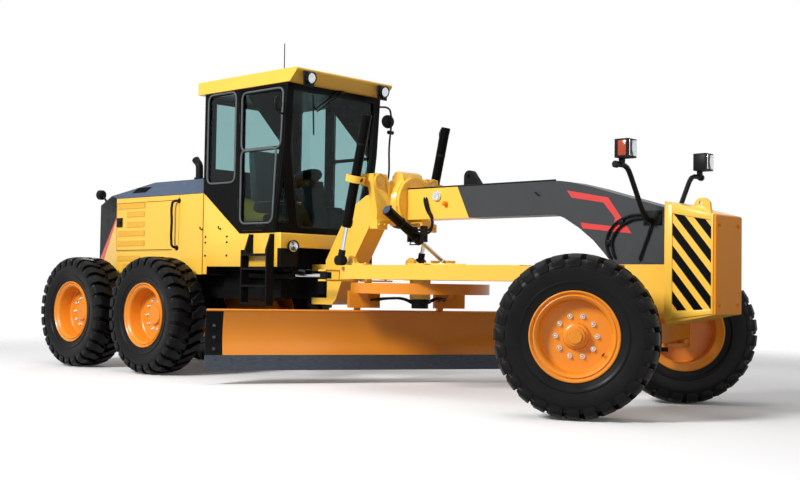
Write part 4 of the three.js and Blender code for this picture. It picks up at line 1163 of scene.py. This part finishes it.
# %% Cab base
FASCIA_X, FASCIA_Z = 2.470, 1.410
bm = softened("cab_base", 0.005)
split(bm, at(0, 0, FASCIA_Z), (0, 0, 1))
split(bm, at(FASCIA_X, 0, 0), (1, 0, 0))
# black: the front under the fascia, the bay behind it, and the underside
repaint(bm, 1, lambda p, n: p.x > FASCIA_X and p.z < FASCIA_Z)
repaint(bm, 1, lambda p, n: 2.1 < p.x < 2.51 and abs(p.y) < 0.445 and p.z < 1.43)
repaint(bm, 1, lambda p, n: p.x > 1.28 and p.z < 1.215)
make("cab_base_finished", bm, "rear_frame", yellow, chassis, replaces=("cab_base",))
print("fascia foot at", FASCIA_Z, "m")

# %% Seat and levers
SEAT_BLOCKS = (((1.500, -0.240, 1.835), (1.960, 0.240, 1.965)),
               ((1.560, -0.150, 1.580), (1.840, 0.150, 1.830)))
SEAT_BACK = ((1.450, 1.960), (1.590, 1.960), (1.500, 2.555), (1.390, 2.555))
LEVERS = 3
bm = bmesh.new()
for low, high in SEAT_BLOCKS:
    box(bm, low, high, 0.05)
slab(bm, SEAT_BACK, "y", -0.230, 0.230, 0.045)
seat = make("seat_padded", bm, "rear_frame", seat_cloth, replaces=("seat",))
bm = bmesh.new()
for sign in (-1, 1):
    box(bm, (2.080, sign * 0.30 - 0.10, 1.60), (2.330, sign * 0.30 + 0.10, 1.90), 0.02)
    for i in range(LEVERS):
        root = at(2.14 + 0.07 * i, sign * 0.30, 1.90)
        tip = root + Vector((-0.05, 0, 0.22))
        bar(bm, root, tip, 0.007, 8, 0)
        bar(bm, tip - Vector((0, 0, 0.03)), tip + Vector((0, 0, 0.03)), 0.018, 14, 0.006)
make("lever_banks", bm, "rear_frame", plastic)
print("levers:", 2 * LEVERS)

# %% [markdown]
# ## Front frame
# The front frame is one long box beam that drops to the hinge. The drop and the root of the beam
# are yellow, the neck ahead of them is charcoal, and the foot over the axle is yellow again. Hoses
# loop from the beam to the steering below, and a red angular band marks the neck.

# %% Front frame paint
ROOT_TOP, ROOT_FOOT = (4.449, 2.006), (4.601, 1.690)
FOOT_TOP = 1.250
HOSE_NEAR, HOSE_FAR = 0.1255, 0.16
bm = softened("front_frame", 0.006)
split_along(bm, ROOT_FOOT, ROOT_TOP)
split(bm, at(0, 0, FOOT_TOP), (0, 0, 1))
ahead_of = side_of(ROOT_TOP, ROOT_FOOT)
# charcoal neck, black lamp stalks and lug, black neck hoses
repaint(bm, 1, lambda p, n: ahead_of(p) > 0 and p.z > FOOT_TOP)
repaint(bm, 2, lambda p, n: p.x > 6.5 and p.z > 1.55 and abs(p.y) > 0.13)
repaint(bm, 2, lambda p, n: 4.3 < p.x < 4.75 and p.z > 2.008)
repaint(bm, 3, lambda p, n: 6.1 < p.x < 6.63 and HOSE_NEAR < abs(p.y) < HOSE_FAR
        and FOOT_TOP < p.z < 1.70)
make("front_frame_finished", bm, "front_frame", yellow, charcoal, cast_iron, hose_rubber,
     replaces=("front_frame",))
print("front frame finishes: 4")

# %% Neck band and clips
BAND_OUTLINE = ((5.728, 1.913), (6.161, 1.832), (6.398, 1.515), (5.897, 1.569), (5.879, 1.621),
                (6.223, 1.579), (6.231, 1.655), (6.111, 1.790), (5.779, 1.847))
for side, sign in SIDES:
    bm = bmesh.new()
    low, high = reach(sign, 0.1250, 0.1262)
    slab(bm, BAND_OUTLINE, "y", low, high, 0)
    make(f"neck_band_{side}", bm, "front_frame", red)
    bm = bmesh.new()
    low, high = reach(sign, 0.124, 0.156)
    for x, z in ((6.300, 1.610), (6.168, 1.440)):
        box(bm, (x - 0.018, low, z - 0.022), (x + 0.030, high, z + 0.022), 0.003)
    low, high = reach(sign, 0.124, 0.136)
    box(bm, (6.515, low, 1.580), (6.690, high, 1.705), 0.004)
    for x in (6.535, 6.670):
        for z in (1.600, 1.685):
            bolt(bm, at(x, sign * 0.136, z), (0, sign, 0), 0.011)
    make(f"neck_clips_{side}", bm, "front_frame", cast_iron)
print("neck bands: 2")

# %% Fittings on the beam's right flank
FLANK_FITTINGS = (
    ("gauge_body", zinc, (4.193, 1.925), ((0.120, 0.150, 0.050, 28, 0.004),)),
    ("gauge_face", lens_glass, (4.193, 1.925), ((0.149, 0.153, 0.040, 28, 0.001),)),
    ("beam_knob", amber_painted_shade, (4.307, 1.844), ((0.120, 0.165, 0.024, 20, 0.004),
                                          (0.165, 0.172, 0.015, 16, 0.002))),
)
for name, finish, (x, z), steps in FLANK_FITTINGS:
    bm = bmesh.new()
    for near, far, radius, segments, bevel in steps:
        bar(bm, at(x, -near, z), at(x, -far, z), radius, segments, bevel)
    make(name, bm, "front_frame", finish)
bm = bmesh.new()
pipe(bm, [at(x, -0.118, 2.012) for x in (3.80, 4.1, 4.45, 5.0, 5.6)], 0.009)
pipe(bm, [at(5.395, -0.120, 1.900), at(5.395, -0.150, 1.905), at(5.43, -0.150, 1.885)], 0.007)
make("beam_line", bm, "front_frame", hose_rubber)
print("flank fittings:", len(FLANK_FITTINGS))

# %% [markdown]
# The headlamps are black moulded boxes on bent tubes. Each has a clear front over a reflector and
# an amber corner for the indicator.

# %% Headlamps
LAMP_BACK, LAMP_FRONT, LAMP_LOW, LAMP_HIGH, LAMP_Y = 6.590, 6.716, 2.100, 2.252, 0.645
LAMP_HALF, SKIN = 0.065, 0.003
for side, sign in SIDES:
    inner, outer = LAMP_Y - LAMP_HALF, LAMP_Y + LAMP_HALF
    bm = bmesh.new()
    low, high = reach(sign, inner - 0.004, outer + SKIN)
    box(bm, (LAMP_BACK - SKIN, low, LAMP_LOW - SKIN),
        (LAMP_FRONT + SKIN, high, LAMP_HIGH + SKIN), 0.020)
    box(bm, (6.600, sign * LAMP_Y - 0.022, 2.060), (6.640, sign * LAMP_Y + 0.022, 2.104), 0.005)
    bar(bm, at(6.600, sign * 0.685, 2.047), at(6.600, sign * 0.722, 2.047), 0.029, 20, 0.004)
    make(f"headlamp_body_{side}", bm, "front_frame", plastic)
    bm = bmesh.new()
    low, high = reach(sign, inner + 0.012, outer - 0.012)
    box(bm, (LAMP_FRONT + 0.001, low, LAMP_LOW + 0.014),
        (LAMP_FRONT + 0.005, high, LAMP_HIGH - 0.014), 0.001)
    make(f"headlamp_reflector_{side}", bm, "front_frame", reflector)
    bm = bmesh.new()
    box(bm, (LAMP_FRONT + 0.0055, low, LAMP_LOW + 0.012),
        (LAMP_FRONT + 0.012, high, LAMP_HIGH - 0.012), 0.003)
    make(f"headlamp_lens_{side}", bm, "front_frame", lens_glass)
    bm = bmesh.new()
    low, high = reach(sign, outer + 0.001, outer + 0.009)
    box(bm, (LAMP_BACK + 0.036, low, LAMP_LOW + 0.014),
        (LAMP_FRONT - 0.014, high, LAMP_HIGH - 0.014), 0.004)
    make(f"headlamp_indicator_{side}", bm, "front_frame", amber_lens)
print("headlamps: 2")

# %% [markdown]
# The nose is a ballast block. Its flanks have a raised frame round a panel with black warning
# stripes that fall forward, and its front is a plain plate in a browner orange, which is painted
# shade.

# %% Nose block
NOSE_HALF, PLATE = 0.223, 7.212
PANEL = ((6.845, 0.866), (7.196, 0.887), (7.196, 1.604), (6.845, 1.668))
STRIPE = {"top": 1.967, "pitch": 0.187, "black": 0.105, "fall": 1.2}
bm = softened("nose_block", 0.006)
split(bm, at(PLATE, 0, 0), (1, 0, 0))
# the front plate takes the browner orange: painted shade for the face turned from the key
repaint(bm, 1, lambda p, n: p.x > PLATE)
make("nose_block_finished", bm, "front_frame", yellow, amber_painted_shade, replaces=("nose_block",))
print("nose plate at", PLATE, "m")

# %% Nose stripes and frame
NOSE_FRAME = (((6.775, 0.785), (6.845, 0.800), (6.845, 1.735), (6.775, 1.752)),
              ((7.196, 0.850), (7.211, 0.852), (7.211, 1.650), (7.196, 1.653)),
              ((6.845, 1.668), (7.196, 1.604), (7.196, 1.653), (6.845, 1.735)),
              ((6.845, 0.800), (7.196, 0.850), (7.196, 0.887), (6.845, 0.866)))


def stripe_at(place):
    """True inside a black stripe."""
    level = place.z + STRIPE["fall"] * (place.x - PANEL[0][0])
    return (STRIPE["top"] - level) % STRIPE["pitch"] < STRIPE["black"]


for side, sign in SIDES:
    bm = bmesh.new()
    low, high = reach(sign, NOSE_HALF, NOSE_HALF + 0.0015)
    slab(bm, PANEL, "y", low, high, 0)
    for i in range(9):
        for drop in (0, STRIPE["black"]):
            z = STRIPE["top"] - i * STRIPE["pitch"] - drop
            split(bm, at(PANEL[0][0], 0, z), (STRIPE["fall"], 0, 1))
    repaint(bm, 1, lambda p, n: stripe_at(p))
    make(f"nose_stripes_{side}", bm, "front_frame", yellow, black)
    bm = bmesh.new()
    low, high = reach(sign, NOSE_HALF - 0.001, NOSE_HALF + 0.010)
    for outline in NOSE_FRAME:
        slab(bm, outline, "y", low, high, 0.002)
    make(f"nose_frame_{side}", bm, "front_frame", yellow)
# the plate's bolts share its browner orange, which is painted shade like the plate
bm = bmesh.new()
for y in (-0.16, 0.16):
    for z in (0.92, 1.57):
        bolt(bm, at(7.234, y, z), (1, 0, 0), 0.013)
make("nose_bolts", bm, "front_frame", amber_painted_shade)
print("stripes fall", STRIPE["fall"], "m in each metre forward")

# %% [markdown]
# ## Saddle and cylinders
# The saddle is a cast drum clamped round the beam. Its arms carry the lift cylinders in swinging
# rings, and a black trunnion under it carries the side-shift cylinder. Caps, bolt rings and ribs
# are laid on the rounded copy.

# %% Saddle drum
DRUM, TRUNNION_Z = at(3.790, 0, 1.880), 1.640
DRUM_RING = ((0.252, -0.030), (0.252, 0.004), (0.236, 0.008), (0.226, 0.008), (0.224, 0.001),
             (0.224, -0.030))


def bolt_ring(bm, centre, axes, radius, count, direction, size, start=0.5):
    """Bolts evenly round a centre, in the plane of two axes. Start is a share of the pitch."""
    for i in range(count):
        turn = math.tau * (i + start) / count
        place = centre + axes[0] * radius * math.cos(turn) + axes[1] * radius * math.sin(turn)
        bolt(bm, place, direction, size)


FORE, LEFT, UP = Vector((1, 0, 0)), Vector((0, 1, 0)), Vector((0, 0, 1))
bm = softened("saddle", 0.007)
split(bm, at(0, 0, TRUNNION_Z), UP)
repaint(bm, 1, lambda p, n: p.z < TRUNNION_Z and abs(p.y) < 0.10)
make("saddle_finished", bm, "front_frame", yellow, cast_iron, replaces=("saddle",))
bm = bmesh.new()
turned(bm, DRUM_RING, DRUM, FORE, 64)
bolt_ring(bm, DRUM - FORE * 0.030, (LEFT, UP), 0.249, 16, FORE, 0.012)
print("saddle drum: 16 bolts")

# %% Saddle caps, ribs and feet
CAP = ((0, -0.004), (0.078, -0.004), (0.078, 0.012), (0.070, 0.018), (0.062, 0.018), (0.058, 0.012),
       (0.040, 0.012), (0.036, 0.020), (0, 0.022))
RIB = ((0.300, 2.130), (0.335, 2.130), (0.225, 1.730), (0.190, 1.750))
FOOT = ((0.300, 1.595), (0.452, 1.595), (0.452, 1.680), (0.300, 1.700))


def mirrored(outline, sign):
    """An outline of (y, other) points on one side, still drawn the same way round."""
    points = [(sign * y, other) for y, other in outline]
    return points if sign > 0 else points[::-1]


for sign in (-1, 1):
    cap = at(3.665, sign * 0.405, 2.078)
    turned(bm, CAP, cap, FORE, 40)
    bolt_ring(bm, cap + FORE * 0.012, (LEFT, UP), 0.049, 3, FORE, 0.006, 1.5 / math.tau)
    slab(bm, mirrored(RIB, sign), "x", 3.664, 3.684, 0.004)
    slab(bm, mirrored(FOOT, sign), "x", 3.660, 3.690, 0.006)
    for y in (0.340, 0.420):
        bolt(bm, at(3.690, sign * y, 1.640), (1, 0, 0), 0.014)
make("saddle_details", bm, "front_frame", yellow)
print("saddle caps: 2")

# %% Lines to the side-shift block
bm = bmesh.new()
for y in (-0.11, 0.0, 0.11):
    bolt(bm, at(3.762, y, 2.075), (1, 0, 0), 0.012)
for gap in (0.0, 0.030):
    route = ((4.018 + gap, -0.118, 1.915), (4.034 + gap, -0.138, 1.885),
             (4.067 + gap, -0.138, 1.789), (4.140, -0.140, 1.675 + gap),
             (4.115, -0.138, 1.604 - gap), (4.000, -0.132, 1.592 - gap),
             (3.890, -0.122, 1.600 - gap))
    pipe(bm, [at(*point) for point in route], 0.011)
box(bm, (3.800, -0.165, 1.560), (3.905, -0.078, 1.625), 0.008)
make("saddle_lines", bm, "front_frame", hose_rubber)
print("saddle lines: 2")

# %% [markdown]
# A hydraulic cylinder has a honed barrel with a welded cap at one end and a screwed gland at the
# other, a steel line that runs down the barrel, ports, and a chromed rod with a forged eye. Each
# is drawn along X from its trunnion, then laid between its two pins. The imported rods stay, in
# chrome.

# %% Cylinders
def between(start, end):
    """The place of a cylinder that's drawn along X from its trunnion."""
    return Matrix.Translation(start) @ (end - start).to_track_quat("X", "Z").to_matrix().to_4x4()


def cylinder(start, end, above, mouth, radius, line=True):
    """A barrel with its cap, rings, gland, ports and steel line, above and below its trunnion."""
    bm = bmesh.new()
    tail = -above
    wide, narrow, bore = radius * 1.06, radius * 0.965, radius * 0.52
    turned(bm, [(0, tail), (radius * 0.86, tail), (radius, tail + 0.008), (radius, tail + 0.055),
                (narrow, tail + 0.058), (narrow, mouth - 0.075), (wide, mouth - 0.072),
                (wide, mouth - 0.020), (radius * 0.94, mouth - 0.016), (radius * 0.94, mouth),
                (bore, mouth), (bore, mouth - 0.05), (0, mouth - 0.05)], Vector(), FORE, 40)
    for x in (tail + 0.035, mouth - 0.046):
        bar(bm, Vector((x, 0, radius * 0.9)), Vector((x, 0, radius * 1.30)), 0.014, 14, 0.002)
    if line:
        z = radius * 1.24
        run = ((tail + 0.035, z), (tail + 0.070, z + 0.010), (tail + 0.12, z), (mouth - 0.20, z),
               (mouth - 0.15, z))
        pipe(bm, [Vector((x, 0, height)) for x, height in run], 0.008, 1)
        block(bm, Matrix.Translation((mouth - 0.110, 0, z)), (0.10, 0.045, 0.040), 0.004, 1)
        for x in (tail + 0.30, (tail + mouth) / 2 + 0.12):
            near, far = radius * 0.96, radius * 1.03
            band = ((near, x - 0.010), (far, x - 0.010), (far, x + 0.010), (near, x + 0.010))
            turned(bm, band, Vector(), FORE, 32, 1)
    bmesh.ops.transform(bm, matrix=between(start, end), verts=bm.verts)
    return bm


# %% Lift cylinders
LIFT_Y = 0.600
for side, sign in SIDES:
    start, end = at(3.520, sign * LIFT_Y, 2.090), at(3.330, sign * LIFT_Y, 1.280)
    along = (end - start).normalized()
    bm = cylinder(start, end, 0.650, 0.490, 0.050)
    trunnion = along.cross(LEFT).normalized() * 0.084
    bar(bm, start - trunnion, start + trunnion, 0.017, 20, 0.002)
    barrel, rod = f"lift_barrel_{side}", f"lift_rod_{side}"
    make(f"{barrel}_finished", bm, barrel, black, cast_iron, replaces=(barrel,))
    keep(rod, chrome, round_off=0.001)
    bm = bmesh.new()
    bar(bm, end - along * 0.110, end - along * 0.030, 0.036, 20, 0.006)
    make(f"lift_eye_{side}", bm, rod, cast_iron)
    bm = bmesh.new()
    bar(bm, end - LEFT * 0.050, end + LEFT * 0.050, 0.050, 24, 0.006)
    make(f"lift_knuckle_{side}", bm, rod, cast_iron)
print("lift cylinders: 2")

# %% Side-shift cylinder
SHIFT_TAIL, SHIFT_MOUTH = 0.530, 0.060
start, end = at(3.850, -0.030, 1.520), at(3.850, 0.370, 1.294)
bm = cylinder(start, end, SHIFT_TAIL, SHIFT_MOUTH, 0.052, line=False)
bar(bm, start - FORE * 0.066, start + FORE * 0.066, 0.009, 16, 0.001)
along = (end - start).normalized()
bar(bm, start - along * 0.045, start + along * 0.059, 0.057, 32, 0.006, 1)
bar(bm, start - along * 0.300, start - along * 0.285, 0.057, 32, 0.003, 1)
bar(bm, start - along * 0.533, start - along * 0.524, 0.046, 32, 0.003, 2)
make("side_shift_barrel_finished", bm, "side_shift_barrel", black, cast_iron, slate,
     replaces=("side_shift_barrel",))
keep("side_shift_rod", chrome, round_off=0.001)
print("side-shift barrel:", SHIFT_TAIL + SHIFT_MOUTH, "m long")

# %% Bending cylinders
BEND_Z = 1.130
for side, sign in SIDES:
    start, end = at(1.760, sign * 0.520, BEND_Z), at(2.960, sign * 0.450, BEND_Z)
    barrel, rod = f"bend_barrel_{side}", f"bend_rod_{side}"
    bm = cylinder(start, end, -0.030, 0.760, 0.043)
    bar(bm, start - UP * 0.038, start + UP * 0.038, 0.046, 28, 0.004, 1)
    make(f"{barrel}_finished", bm, barrel, black, cast_iron, replaces=(barrel,))
    bm = softened(rod, 0.001)
    split(bm, end - (end - start).normalized() * 0.062, end - start)
    repaint(bm, 1, lambda p, n: (p + ORIGIN - end).length < 0.085)
    make(f"{rod}_finished", bm, rod, chrome, cast_iron, replaces=(rod,))
print("bending cylinders: 2")

# %% [markdown]
# ## Drawbar, circle and blade
# The drawbar is a welded frame with wear plates on top. Under it hangs the circle, a toothed ring
# turned by a motor, with a hose swivel in its middle. The blade is a rolled sheet with a bead
# along its top, black wear plates at its ends, and a bolted cutting edge.

# %% Circle teeth
TURN = math.radians(-31.5)
CIRCLE = at(3.870, 0, 0)
BLADE = Matrix.Translation(CIRCLE) @ Matrix.Rotation(TURN, 4, "Z")
TEETH, TOOTH, TOOTH_AT = 64, (0.030, 0.026, 0.060), (0.552, 1.0075)
bm = bmesh.new()
for i in range(TEETH):
    turn = math.tau * i / TEETH
    out = Vector((math.cos(turn), math.sin(turn), 0))
    place = Matrix.Translation(CIRCLE + out * TOOTH_AT[0] + UP * TOOTH_AT[1])
    block(bm, place @ Matrix.Rotation(turn, 4, "Z"), TOOTH)
make("circle_teeth", bm, "circle", orange)
print("circle teeth:", TEETH)

# %% Hose swivel
HOSE_RUN = ((0, 0.06, 0.85), (-0.02, 0.17, 0.90), (-0.14, 0.30, 0.905), (-0.40, 0.385, 0.885),
            (-0.62, 0.420, 0.865), (-0.70, 0.440, 0.850))
bm = bmesh.new()
turned(bm, [(0, -0.060), (0.085, -0.060), (0.085, 0.0), (0.112, 0.004), (0.112, 0.030), (0, 0.030)],
       CIRCLE + UP * 0.868, UP, 32)
for sign in (-1, 1):
    for spread in (1.0, 0.86):
        # the two hoses of a pair run side by side, and meet at the arm
        route = [(x, sign * (y if y > 0.43 else y * spread), z) for x, y, z in HOSE_RUN]
        pipe(bm, [BLADE @ Vector(point) for point in route], 0.013)
bolt_ring(bm, CIRCLE + UP * 0.872, (FORE, LEFT), 0.098, 8, -UP, 0.011, 0)
make("hose_swivel", bm, "circle", hose_rubber)
print("swivel hoses: 4")

# %% Drawbar plates
SHELF = ((0.200, 4.15), (0.20, 4.60), (0.34, 4.75), (0.50, 4.30), (0.50, 4.15))
bm = bmesh.new()
for sign in (-1, 1):
    for x in (3.45, 4.25):
        box(bm, (x, sign * 0.50 - 0.06, 1.233), (x + 0.16, sign * 0.50 + 0.06, 1.250), 0.004)
        for dx in (0.03, 0.13):
            bolt(bm, at(x + dx, sign * 0.50, 1.250), (0, 0, 1), 0.012)
    slab(bm, [(x, y) for y, x in mirrored(SHELF, sign)], "z", 1.234, 1.252, 0.004)
box(bm, (4.45, -0.12, 1.234), (5.20, 0.12, 1.247), 0.004)
make("drawbar_plates", bm, "drawbar", yellow)
print("drawbar plates: 7")

# %% Moldboard and edge
FACE, HALF, SHIFT, END = -0.685, 1.830, -0.230, 0.175
along, facing = BLADE.to_3x3() @ LEFT, BLADE.to_3x3() @ FORE
bm = softened("moldboard", 0.003)
ends = (SHIFT - HALF + END, SHIFT + HALF - END)
for y in ends:
    split(bm, BLADE @ Vector((0, y, 0)), along)
to_blade = BLADE.inverted()
repaint(bm, 1, lambda p, n: not ends[0] < (to_blade @ (p + ORIGIN)).y < ends[1])
make("moldboard_finished", bm, "blade", orange, chassis, replaces=("moldboard",))
keep("cutting_edge", edge_steel, round_off=0.002)
bm = bmesh.new()
top = Vector((FACE - 0.078 * math.sin(math.pi * 0.95) + 0.024, 0, 0.759))
near, far = (BLADE @ (top + LEFT * (SHIFT + half)) for half in (-HALF, HALF))
bar(bm, near, far, 0.013, 16, 0.002)
make("blade_top_bead", bm, "blade", orange)
print("blade:", 2 * HALF, "m wide, turned", round(math.degrees(-TURN), 1), "degrees")

# %% Edge bolts and tip pins
EDGE_BOLTS, FIRST_BOLT = 22, 0.09
bm = bmesh.new()
for i in range(EDGE_BOLTS):
    y = SHIFT - HALF + FIRST_BOLT + 2 * (HALF - FIRST_BOLT) * i / (EDGE_BOLTS - 1)
    bolt(bm, BLADE @ Vector((FACE + 0.020, y, 0.262)), facing, 0.013)
for y in (ends[0] - 0.09, ends[1] + 0.09):
    for z in (0.36, 0.48, 0.60):
        bolt(bm, BLADE @ Vector((FACE - 0.030, y, z)), facing, 0.013)
make("edge_bolts", bm, "blade", edge_steel)
bm = bmesh.new()
for sign in (-1, 1):
    near, far = (BLADE @ Vector((-0.845, sign * y, 0.360)) for y in (0.40, 0.505))
    bar(bm, near, far, 0.046, 28, 0.004)
make("tip_pins", bm, "blade_carrier", cast_iron)
print("edge bolts:", EDGE_BOLTS)

# %% [markdown]
# ## Axle and running gear
# Each tandem case has a round cover over both of its wheels' shafts and one over the drive shaft
# between them. They are low turned discs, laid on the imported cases.

# %% Tandem covers
COVER = ((0, 0), (0.115, 0), (0.110, 0.012), (0.060, 0.016), (0, 0.016))
SHAFTS, SHAFT_Z, COVER_Y = (-0.75, 0.75, 0.0), 0.660, 0.735
for side, sign in SIDES:
    bm = bmesh.new()
    for x in SHAFTS:
        turned(bm, COVER, at(x, sign * COVER_Y, SHAFT_Z), LEFT * sign, 32)
    make(f"tandem_covers_{side}", bm, "rear_frame", orange)
print("tandem covers: 6")
